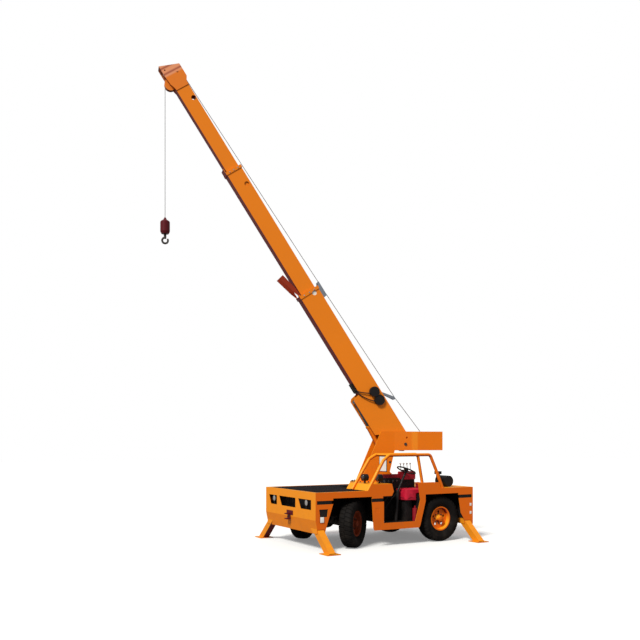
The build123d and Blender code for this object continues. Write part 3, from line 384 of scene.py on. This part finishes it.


# CAD nodes that keep their shape get their material here.
finishes = {
    orange: ["front_bumper", "rear_bumper", "deck_frame", "rear_deck", "cab_cowl", "cab_side",
             "engine_side", "roll_frame", "outrigger_sleeves", "leg_front_left", "leg_front_right",
             "leg_rear_left", "leg_rear_right", "lift_barrel", "rim_rear_left", "rim_rear_right"],
    # chassis_frame and cab_tub are black as painted shade: the frame under the deck and the cab's inside
    # stand in shade.
    black: ["chassis_frame", "cab_tub", "engine_block", "air_cleaner", "control_console", "seat_base",
            "hose_reels", "steering_wheel", "lamps"],
    turret_paint: ["turret_frame"],
    boom_paint: ["boom_mid", "boom_tip"],
    tongue_paint: ["boom_base"],
    shade_paint: ["rim_front_left", "rim_front_right"],
    head_paint: ["boom_head"],
    cast: ["axles", "knuckle_left", "knuckle_right", "drive_line", "drum_and_pins", "hook", "head_sheaves"],
    red: ["lever_box", "extinguisher"],
    dark_red: ["hook_weight", "tow_hitches"],
    deck_coat: ["deck_plate"],
    shade_strip: ["side_strips"],
    bright: ["levers_and_pedals"],
    guide_steel: ["rope_guides"],
    plated: ["lift_rod"],
    rope_steel: ["fall_rope"],
    white_card: ["load_card"],
    nylon: ["base_pads", "mid_pads"],
    tyre_rubber: ["tyre_front_left", "tyre_front_right", "tyre_rear_left", "tyre_rear_right"],
    seat_cloth: ["seat_cushion", "seat_back"],
}
for material, names in finishes.items():
    for name in names:
        node = frame["nodes"][name]
        node.data.materials.clear()
        node.data.materials.append(material)

# Meshes for the pieces that Blender adds: turned, swept and slab shapes put into one bmesh for
# each piece. A piece stays at the origin and rides on its CAD body.
def ring_frame(toward):
    """Two directions square to toward and to each other."""
    toward = toward.normalized()
    first = toward.orthogonal().normalized()
    return first, toward.cross(first)


def rings(bm, loops, closed=False):
    """Joins loops of points with faces, and caps both ends unless the row closes on itself."""
    rows = [[bm.verts.new(point) for point in loop] for loop in loops]
    count = len(rows[0])
    pairs = list(zip(rows, rows[1:])) + ([(rows[-1], rows[0])] if closed else [])
    for a, b in pairs:
        for i in range(count):
            j = (i + 1) % count
            bm.faces.new((a[i], a[j], b[j], b[i]))
    if not closed:
        bm.faces.new(rows[0][::-1])
        bm.faces.new(rows[-1])


def turned(bm, start, toward, profile, sides=32, closed=False):
    """A turned shape: profile is (distance along toward, radius)."""
    toward = toward.normalized()
    u, v = ring_frame(toward)
    loops = []
    for along, radius in profile:
        turns = [2 * math.pi * i / sides for i in range(sides)]
        loops.append([start + toward * along + (u * math.cos(a) + v * math.sin(a)) * radius for a in turns])
    rings(bm, loops, closed)


def swept(bm, points, radius, sides=10):
    """A round tube along points, without a twist."""
    points = [Vector(p) for p in points]
    u = (points[1] - points[0]).orthogonal().normalized()
    loops = []
    for i, point in enumerate(points):
        toward = (points[min(i + 1, len(points) - 1)] - points[max(i - 1, 0)]).normalized()
        u = (u - toward * u.dot(toward)).normalized()
        v = toward.cross(u)
        turns = [2 * math.pi * k / sides for k in range(sides)]
        loops.append([point + (u * math.cos(a) + v * math.sin(a)) * radius for a in turns])
    rings(bm, loops)


def smooth_path(points, steps=8):
    """Points of one smooth curve through a few given ones."""
    points = [Vector(p) for p in points]
    padded = [points[0] * 2 - points[1]] + points + [points[-1] * 2 - points[-2]]
    path = []
    for a, b, c, d in zip(padded, padded[1:], padded[2:], padded[3:]):
        for k in range(steps):
            t = k / steps
            curved = (2 * a - 5 * b + 4 * c - d) * t ** 2 + (3 * b - a - 3 * c + d) * t ** 3
            path.append(0.5 * (2 * b + (c - a) * t + curved))
    return path + [points[-1]]


def slab(bm, low, high, round_by=0.003):
    """A box between two corners with all of its edges rounded."""
    fresh = bmesh.new()
    across_x, across_y, across_z = zip(low, high)
    corners = [Vector((x, y, z)) for x in across_x for y in across_y for z in across_z]
    verts = [fresh.verts.new(c) for c in corners]
    for face in ((0, 1, 3, 2), (4, 6, 7, 5), (0, 4, 5, 1), (2, 3, 7, 6), (0, 2, 6, 4), (1, 5, 7, 3)):
        fresh.faces.new([verts[i] for i in face])
    bmesh.ops.bevel(fresh, geom=fresh.edges[:], offset=round_by, segments=3, profile=0.5, affect="EDGES")
    done = bpy.data.meshes.new("slab")
    fresh.to_mesh(done)
    fresh.free()
    bm.from_mesh(done)
    bpy.data.meshes.remove(done)


def as_object(name, bm, material, angle=35):
    bmesh.ops.remove_doubles(bm, verts=bm.verts[:], dist=1e-6)
    bmesh.ops.recalc_face_normals(bm, faces=bm.faces[:])
    mesh = bpy.data.meshes.new(name)
    bm.to_mesh(mesh)
    bm.free()
    mesh.polygons.foreach_set("use_smooth", [True] * len(mesh.polygons))
    mesh.set_sharp_from_angle(angle=math.radians(angle))
    mesh.materials.append(material)
    piece = bpy.data.objects.new(name, mesh)
    bpy.context.scene.collection.objects.link(piece)
    return piece


# Geometry Nodes: one tree repeats a small piece at marked points. Each point carries its turn.
# It makes the tread lugs, the wheel nuts, the ring bolts and the pads' screws.
def copies_tree():
    tree = bpy.data.node_groups.new("Copies at marked points", "GeometryNodeTree")
    sockets = {}
    inputs = {"Points": "Geometry", "Copied piece": "Object", "Size": "Float", "Finish": "Material"}
    for label, kind in inputs.items():
        socket = tree.interface.new_socket(label, in_out="INPUT", socket_type="NodeSocket" + kind)
        sockets[label] = socket.identifier
    tree.interface.new_socket("Copies", in_out="OUTPUT", socket_type="NodeSocketGeometry")
    start, end = tree.nodes.new("NodeGroupInput"), tree.nodes.new("NodeGroupOutput")
    dots = tree.nodes.new("GeometryNodeMeshToPoints")
    info = tree.nodes.new("GeometryNodeObjectInfo")
    turn = tree.nodes.new("GeometryNodeInputNamedAttribute")
    turn.data_type = "FLOAT_VECTOR"
    turn.inputs["Name"].default_value = "turn"
    spread = tree.nodes.new("GeometryNodeInstanceOnPoints")
    real = tree.nodes.new("GeometryNodeRealizeInstances")
    finish = tree.nodes.new("GeometryNodeSetMaterial")
    for source, target in (
        (start.outputs["Points"], dots.inputs[0]),
        (start.outputs["Copied piece"], info.inputs["Object"]),
        (dots.outputs[0], spread.inputs["Points"]),
        (info.outputs["Geometry"], spread.inputs["Instance"]),
        (turn.outputs["Attribute"], spread.inputs["Rotation"]),
        (start.outputs["Size"], spread.inputs["Scale"]),
        (spread.outputs[0], real.inputs[0]),
        (real.outputs[0], finish.inputs["Geometry"]),
        (start.outputs["Finish"], finish.inputs["Material"]),
        (finish.outputs[0], end.inputs[0]),
    ):
        tree.links.new(source, target)
    return tree, sockets


repeat, repeat_inputs = copies_tree()


def copies(name, piece, places, material, size=1.0):
    """One mesh of the small piece at each place, a matrix. Returns it as a plain object."""
    mesh = bpy.data.meshes.new(name + " points")
    mesh.from_pydata([place.to_translation() for place in places], [], [])
    turns = mesh.attributes.new("turn", "FLOAT_VECTOR", "POINT")
    for item, place in zip(turns.data, places):
        item.vector = place.to_euler("XYZ")
    holder = bpy.data.objects.new(name, mesh)
    bpy.context.scene.collection.objects.link(holder)
    modifier = holder.modifiers.new("copies", "NODES")
    modifier.node_group = repeat
    for label, value in (("Copied piece", piece), ("Size", size), ("Finish", material)):
        modifier[repeat_inputs[label]] = value
    evaluated = holder.evaluated_get(bpy.context.evaluated_depsgraph_get())
    plain = bpy.data.meshes.new_from_object(evaluated)
    holder.modifiers.clear()
    holder.data = plain
    plain.polygons.foreach_set("use_smooth", [True] * len(plain.polygons))
    plain.set_sharp_from_angle(angle=math.radians(35))
    return holder


def facing(place, toward):
    """A matrix at a place whose Z points along toward."""
    matrix = Vector(toward).to_track_quat("Z", "Y").to_matrix().to_4x4()
    matrix.translation = Vector(place)
    return matrix


# Tyres: a casing with ribs near the bead, and blocks that repeat round it on both sides, half a
# pitch apart. They stand for the CAD tyres. casing is (distance from the middle, radius), and
# lug_rows is (distance from the middle, top radius, base radius, skew).
LUGS = 34
STEER_OFFSET = 0.180
casing = [(0.0866, 0.2436), (0.0885, 0.262), (0.101, 0.281), (0.108, 0.286), (0.112, 0.292), (0.120, 0.303),
          (0.131, 0.333), (0.138, 0.366), (0.1388, 0.384), (0.135, 0.409), (0.130, 0.424), (0.1265, 0.430),
          (0.122, 0.449), (0.108, 0.4625), (0.060, 0.4705), (0.0, 0.4725)]
lug_rows = [(0.004, 0.485, 0.460, 0.000), (0.035, 0.4843, 0.460, 0.004), (0.066, 0.4830, 0.458, 0.012),
            (0.092, 0.4790, 0.452, 0.021), (0.109, 0.4715, 0.445, 0.027), (0.122, 0.4590, 0.436, 0.032),
            (0.1325, 0.4340, 0.420, 0.036)]
bm = bmesh.new()
loops = []
for y, top, base, skew in lug_rows:
    half = 0.0345 - 0.10 * max(0.0, y - 0.09)
    loops.append([Vector((skew + dx, y, z)) for dx, z in (
        (-half - 0.003, base), (-half, top - 0.003), (-half + 0.003, top), (half - 0.003, top),
        (half, top - 0.003), (half + 0.003, base))])
rings(bm, loops)
lug = as_object("lug", bm, tyre_rubber)

wheels = {}
for end in ("front", "rear"):
    for side, sign in (("left", 1), ("right", -1)):
        joint = joints["wheel_" + end + "_" + side]
        axle = Vector(joint["axis"]).normalized()
        offset = STEER_OFFSET if end == "front" else 0.0
        wheels[end + "_" + side] = (Vector(joint["pos_m"]) + axle * sign * offset, axle * sign)

for key, (centre, outward) in wheels.items():
    turn = Matrix((UP.cross(outward) * -1, outward, UP)).transposed().to_4x4()
    bm = bmesh.new()
    right = [(y, r) for y, r in casing]
    left = [(-y, r) for y, r in casing[-2::-1]]
    turned(bm, centre, outward, right + left, sides=96, closed=True)
    body = as_object("casing_" + key, bm, tyre_rubber, angle=50)
    places = []
    for way in (0, 1):
        for step in range(LUGS):
            spin = Matrix.Rotation(2 * math.pi * (step + 0.5 * way) / LUGS, 4, "Y")
            flip = Matrix.Rotation(math.pi * way, 4, "Z")
            places.append(Matrix.Translation(centre) @ turn @ spin @ flip)
    tread = copies("tread_" + key, lug, places, tyre_rubber)
    for piece in (body, tread):
        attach(piece, "wheel_" + key)
    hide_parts("tyre_" + key)
bpy.data.objects.remove(lug)

# Fasteners: hexagon heads on washers. Wheel nuts on each rim, bolts round the slewing ring and
# the screws that set the boom's slide pads.
bm = bmesh.new()
turned(bm, Vector((0, 0, 0)), UP, [(0.0, 1.35), (0.16, 1.35), (0.18, 1.30)], sides=24)
turned(bm, Vector((0, 0, 0.18)), UP, [(0.0, 1.0), (0.85, 1.0), (1.0, 0.86)], sides=6)
turned(bm, Vector((0, 0, 1.16)), UP, [(0.0, 0.55), (0.28, 0.55), (0.36, 0.45)], sides=16)
bolt = as_object("bolt", bm, bright, angle=25)
nut_count, nut_circle, nut_face, hub_face = 8, 0.104, 0.0158, 0.0905
for key, (centre, outward) in wheels.items():
    u, v = ring_frame(outward)
    places = []
    for k in range(nut_count):
        a = 2 * math.pi * k / nut_count
        spoke = u * math.cos(a) + v * math.sin(a)
        places.append(facing(centre + outward * nut_face + spoke * nut_circle, outward))
    nuts = copies("wheel_nuts_" + key, bolt, places, cast, size=0.013)
    bm = bmesh.new()
    dome = [(0.0, 0.060), (0.010, 0.058), (0.016, 0.050), (0.018, 0.030)]
    dome += [(0.018, 0.012), (0.024, 0.010), (0.026, 0.004)]
    turned(bm, centre + outward * hub_face, outward, dome, sides=36)
    cap = as_object("hub_cap_" + key, bm, shade_paint if key.startswith("front") else orange)
    for piece in (nuts, cap):
        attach(piece, "wheel_" + key)

# No bolt stands where the turret's two side plates meet the ring.
bolt_count, bolt_circle, ring_top, plate_w, plate_room = 28, 0.418, 1.2638, 0.157, 0.034
places = []
for k in range(bolt_count):
    a = 2 * math.pi * k / bolt_count
    w = bolt_circle * math.sin(a)
    if abs(abs(w) - plate_w) > plate_room:
        places.append(facing(turret_point(bolt_circle * math.cos(a), ring_top, w), UP))
ring_bolts = copies("ring_bolts", bolt, places, cast, size=0.015)
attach(ring_bolts, "turret")

# Each section's pad screws: name, body, distance along, half width, distance between screws.
middle_n, sink = -0.055, 0.0005
screwed = (("base", "boom_base", 3.865, 0.149, 0.13), ("mid", "boom_mid", 6.80, 0.125, 0.10))
for name, body_name, s, half, spread in screwed:
    places = []
    for way in (1, -1):
        for n in (middle_n - spread, middle_n, middle_n + spread):
            places.append(facing(boom_point(s, n, way * (half - sink)), ACROSS * way))
    screws = copies(name + "_pad_screws", bolt, places, bright, size=0.010)
    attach(screws, body_name)
bpy.data.objects.remove(bolt)

# The seat: cushion and back swell as cloth under pressure from slightly smaller copies of their
# CAD solids, then get sewn channels across and one subdivision. They stand for the CAD solids.
def swollen(piece, cap):
    """The piece's own mesh, remeshed evenly and blown up as cloth by no more than cap."""
    remesh = piece.modifiers.new("voxels", "REMESH")
    remesh.mode = "VOXEL"
    remesh.voxel_size = 0.010
    even = bpy.data.meshes.new_from_object(piece.evaluated_get(bpy.context.evaluated_depsgraph_get()))
    piece.modifiers.clear()
    piece.data = even
    cloth = piece.modifiers.new("cloth", "CLOTH")
    cloth.settings.use_pressure = True
    cloth.settings.uniform_pressure_force = 4.0
    cloth.settings.effector_weights.gravity = 0.0
    cloth.point_cache.frame_end = 16
    for step in range(1, 17):
        bpy.context.scene.frame_set(step)
    blown = piece.evaluated_get(bpy.context.evaluated_depsgraph_get()).data
    moved = [vert.co.copy() for vert in blown.vertices]
    piece.modifiers.clear()
    for vert, new in zip(even.vertices, moved):
        step = new - vert.co
        vert.co += step * min(1.0, cap / max(step.length, 1e-9))
    bpy.context.scene.frame_set(1)


def padded_piece(name, node, face_axis, spacing):
    """A sewn pad: its channels run fore and aft or up, side by side across the seat."""
    shrink, skin, face_depth = 0.965, 0.0004, 0.03
    crown_height, crown_reach = 0.012, 0.09
    seam_depth, seam_half, seam_reach = 0.011, 0.010, 0.05
    bm = bmesh.new()
    bm.from_mesh(frame["nodes"][node].data)
    low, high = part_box(node)
    middle = (low + high) / 2
    for vert in bm.verts:
        vert.co = middle + (vert.co - middle) * shrink
    piece = as_object(name, bm, seat_cloth, angle=180)
    swollen(piece, 0.009)
    mesh = piece.data
    for vert in mesh.vertices:
        for axis in range(3):
            vert.co[axis] = min(max(vert.co[axis], low[axis] + skin), high[axis] - skin)
        by_side = (vert.co.y - middle.y) / spacing
        off_seam = abs(by_side - round(by_side)) * spacing
        to_edge = min(abs(vert.co[a] - e[a]) for a in range(3) if a != face_axis for e in (low, high))
        on_face = 1.0 if vert.co[face_axis] > high[face_axis] - face_depth else 0.0
        crown = crown_height * (min(1.0, to_edge / crown_reach) - 0.5)
        groove = seam_depth * math.exp(-(off_seam / seam_half) ** 2) * min(1.0, to_edge / seam_reach)
        vert.co[face_axis] += on_face * (crown - groove)
    finer = piece.modifiers.new("finer", "SUBSURF")
    finer.levels = finer.render_levels = 1
    mesh.materials.clear()
    mesh.materials.append(seat_cloth)
    mesh.polygons.foreach_set("use_smooth", [True] * len(mesh.polygons))
    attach(piece, "chassis")
    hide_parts(node)


padded_piece("sewn_cushion", "seat_cushion", 2, 0.080)
padded_piece("sewn_back", "seat_back", 0, 0.076)

# The hoist rope: wound on the drum, up over the guide arm, along the boom's top to the head's
# idler, round it and over the sheave, then down to the weight.
ROPE_R = 0.0068
drum_r, drum_z, lay_r = -1.195, 2.135, 0.0872
turns, steps, lay_width = 13, 24, 0.18
points = []
for step in range(turns * steps + 1):
    a = 2 * math.pi * step / steps
    sideways = lay_width * (step / (turns * steps) - 0.5)
    points.append(turret_point(drum_r + lay_r * math.cos(a), drum_z + lay_r * math.sin(a), sideways))
bm = bmesh.new()
swept(bm, points, ROPE_R, sides=8)
winding = as_object("rope_on_drum", bm, rope_steel, angle=60)
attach(winding, "turret")

# Each span has rings only at its ends and where it bends, so it stays straight between the two
# bodies that it runs from and to.
low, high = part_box("fall_rope")
fall_top = Vector(((low.x + high.x) / 2, (low.y + high.y) / 2, high.z))
fall_end = Vector((fall_top.x, fall_top.y, low.z))
leaving = turret_point(drum_r - 0.080, drum_z + 0.055)
guide_arm = boom_point(0.955, 0.401)
guide_roller = boom_point(3.925, 0.283)
mid_end = boom_point(6.95, 0.1854)
idler_s, idler_n, idler_r = 9.040, 0.020, 0.097
sheave_s, sheave_n, sheave_r = 8.884, -0.231, 0.105
over = [mid_end]
for a in [math.radians(d) for d in range(92, -38, -10)]:
    over.append(boom_point(idler_s + idler_r * math.cos(a), idler_n + idler_r * math.sin(a)))
for a in [math.radians(d) for d in range(-34, -56, -6)]:
    over.append(boom_point(sheave_s + sheave_r * math.cos(a), sheave_n + sheave_r * math.sin(a)))
spans = [("rope_to_guide_arm", "turret", "boom_base", [leaving, guide_arm]),
         ("rope_on_base_section", "boom_base", None, [guide_arm, guide_roller]),
         ("rope_to_middle_section", "boom_base", "boom_mid", [guide_roller, mid_end]),
         ("rope_over_head", "boom_mid", "boom_tip", over),
         ("rope_fall", "fall_line", "hook_weight", [fall_top, fall_end])]
for name, first_body, last_body, path in spans:
    bm = bmesh.new()
    swept(bm, path, ROPE_R, sides=8)
    span = as_object(name, bm, rope_steel, angle=60)
    if last_body:
        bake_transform(span)
    else:
        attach(span, first_body)
    if name == "rope_fall":
        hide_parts("fall_rope")

# Lamps: domed lenses in rims on the two lamps over the cowl and the two in the front openings,
# and the white lenses on the bumper's sides. Each lamp is (x, y, z, radius, glass).
ahead = Vector((1, 0, 0))
lamps = ((0.6575, 0.680, 1.392, 0.066, dark_lens), (0.4375, 0.870, 1.392, 0.066, dark_lens),
         (1.993, 0.690, 0.925, 0.068, clear_lens), (1.993, -0.700, 0.925, 0.068, clear_lens))
for k, (x, y, z, r, glass) in enumerate(lamps):
    bm = bmesh.new()
    hoop = [(0.0, r + 0.004), (0.010, r + 0.004), (0.013, r), (0.013, r - 0.006)]
    hoop += [(0.006, r - 0.008), (0.0, r - 0.008)]
    turned(bm, Vector((x - 0.004, y, z)), ahead, hoop, sides=40, closed=True)
    rim = as_object("lamp_rim_%d" % k, bm, black)
    bm = bmesh.new()
    dome = [(0.0, r - 0.007), (0.005, r - 0.009), (0.010, r * 0.6), (0.012, r * 0.2)]
    turned(bm, Vector((x - 0.001, y, z)), ahead, dome, sides=40)
    lens = as_object("lamp_lens_%d" % k, bm, glass, angle=60)
    for piece in (rim, lens):
        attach(piece, "chassis")
for side in (1, -1):
    bm = bmesh.new()
    near, far = side * 1.087 - 0.004, side * 1.087 + 0.004
    slab(bm, (1.823, near, 0.566), (1.905, far, 0.673), 0.0035)
    lens = as_object("side_lens_%s" % ("left" if side > 0 else "right"), bm, white_lens)
    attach(lens, "chassis")

# A black box behind each side opening of the front bumper: painted shade that keeps the opening's inside
# dark.
for side in (1, -1):
    bm = bmesh.new()
    near, far = side * 1.063 - 0.003, side * 1.063 + 0.003
    slab(bm, (1.712, near, 0.662), (1.938, far, 0.832), 0.001)
    shade_backing = as_object("lamp_box_" + ("left" if side > 0 else "right"), bm, black)
    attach(shade_backing, "chassis")

# Small blank plates on the rear bumper's side.
for k, z in enumerate((0.735, 0.560)):
    bm = bmesh.new()
    slab(bm, (-1.900, 1.0768, z), (-1.850, 1.0798, z + 0.060), 0.001)
    plate = as_object("blank_plate_%d" % k, bm, white_card)
    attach(plate, "chassis")

# Hoses: pairs from the reels to the valve block under the boom, and control hoses that rise
# from the floor of the operator's place to the console.
hose_runs = [("boom_hose_%d" % k, "boom_base", [
    boom_point(1.36 - 0.20 * k, -0.085, -0.172), boom_point(1.44 - 0.16 * k, -0.190, -0.166),
    boom_point(1.52 - 0.10 * k, -0.276, -0.160), boom_point(1.585 - 0.075 * k, -0.310, -0.132),
    boom_point(1.60 - 0.05 * k, -0.304, -0.092)]) for k in range(2)]
for k in range(4):
    y = 0.505 + 0.030 * k
    hose_runs.append(("control_hose_%d" % k, "chassis", [
        (0.36 - 0.07 * k, y, 0.486), (0.33 - 0.08 * k, y + 0.010, 0.66),
        (0.20 - 0.09 * k, y + 0.030 * (k % 2), 0.88),
        (0.06 - 0.10 * k, y + 0.012, 1.03), (-0.04 - 0.11 * k, y, 1.150)]))
hose_r = 0.011
for name, body_name, run in hose_runs:
    bm = bmesh.new()
    swept(bm, smooth_path(run), hose_r, sides=12)
    for end_at, next_at in ((run[0], run[1]), (run[-1], run[-2])):
        end_at, next_at = Vector(end_at), Vector(next_at)
        turned(bm, end_at, next_at - end_at, [(0.0, 0.015), (0.035, 0.015), (0.040, 0.0115)], sides=12)
    hose = as_object(name, bm, hose_rubber)
    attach(hose, body_name)

# Operator's place: gauges with plain dials on the console, and the blank card's frame.
outward = Vector((0, 1, 0))
for k in range(4):
    bm = bmesh.new()
    at = Vector((-0.26 + 0.11 * k, 0.600, 1.290))
    case = [(-0.002, 0.036), (0.014, 0.036), (0.018, 0.032), (0.018, 0.028), (0.010, 0.027)]
    turned(bm, at, outward, case, sides=32)
    gauge = as_object("gauge_%d" % k, bm, black)
    bm = bmesh.new()
    turned(bm, at + outward * 0.0095, outward, [(0.0, 0.0268), (0.0025, 0.0268), (0.003, 0.024)], sides=32)
    dial = as_object("gauge_dial_%d" % k, bm, dark_lens)
    for piece in (gauge, dial):
        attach(piece, "chassis")
low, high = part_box("load_card")
bm = bmesh.new()
border = 0.012
for a, b in (((low.y + border, low.z), (high.y - border, low.z + border)),
             ((low.y + border, high.z - border), (high.y - border, high.z)),
             ((low.y, low.z), (low.y + border, high.z)),
             ((high.y - border, low.z), (high.y, high.z))):
    slab(bm, (low.x - 0.003, a[0], a[1]), (high.x + 0.003, b[0], b[1]), 0.0015)
card_frame = as_object("card_frame", bm, black)
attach(card_frame, "chassis")

# The light is a pale, even studio: a broad soft key from above the camera's left, white
# surroundings, and a white floor that takes a soft shadow.
scene = bpy.context.scene
floor_mesh = bpy.data.meshes.new("floor")
floor_mesh.from_pydata([(-60, -60, 0), (60, -60, 0), (60, 60, 0), (-60, 60, 0)], [], [(0, 1, 2, 3)])
floor = bpy.data.objects.new("floor", floor_mesh)
scene.collection.objects.link(floor)
floor_paint, tree, shader = new_material("Floor")
sight = add(tree, "LightPath").outputs["Is Camera Ray"]
finish_with(tree, shader, {
    "Base Color": mixed(tree, sight, (0.25, 0.25, 0.26, 1), (0.80, 0.81, 0.82, 1)),
    "Emission Color": mixed(tree, sight, (0, 0, 0, 1), (1, 1, 1, 1)), "Emission Strength": 0.20,
    "Roughness": 1.0, "Specular IOR Level": 0.0})
floor_mesh.materials.append(floor_paint)

world = bpy.data.worlds.new("studio")
scene.world = world
world.use_nodes = True
sky = world.node_tree.nodes["Background"]
sight = add(world.node_tree, "LightPath").outputs["Is Camera Ray"]
level = add(world.node_tree, "MapRange", {"Value": sight, "To Min": 0.42, "To Max": 1.0})
sky.inputs[0].default_value = (1.0, 1.0, 1.0, 1)
world.node_tree.links.new(level.outputs[0], sky.inputs[1])
sun_data = bpy.data.lights.new("key", "SUN")
sun_data.energy = 3.4
sun_data.angle = math.radians(14)
sun_data.color = (1.0, 0.97, 0.90)
sun = bpy.data.objects.new("key", sun_data)
scene.collection.objects.link(sun)
sun.rotation_euler = Vector((0.75, 0.42, 0.80)).to_track_quat("Z", "Y").to_euler()

# The camera stands level, 2.2 m up and off the front left corner. Its frame is shifted up instead
# of tilted, so that upright edges stay upright.
camera_data = bpy.data.cameras.new("camera")
camera = bpy.data.objects.new("camera", camera_data)
scene.collection.objects.link(camera)
scene.camera = camera
camera.location = (9.097, 13.374, 2.167)
camera.rotation_euler = (math.radians(90), 0, math.radians(180 - 28.679))
camera_data.sensor_width = 36.0
camera_data.lens = 41.63
camera_data.shift_x = 0.033
camera_data.shift_y = 0.187
scene.view_settings.view_transform = "Standard"
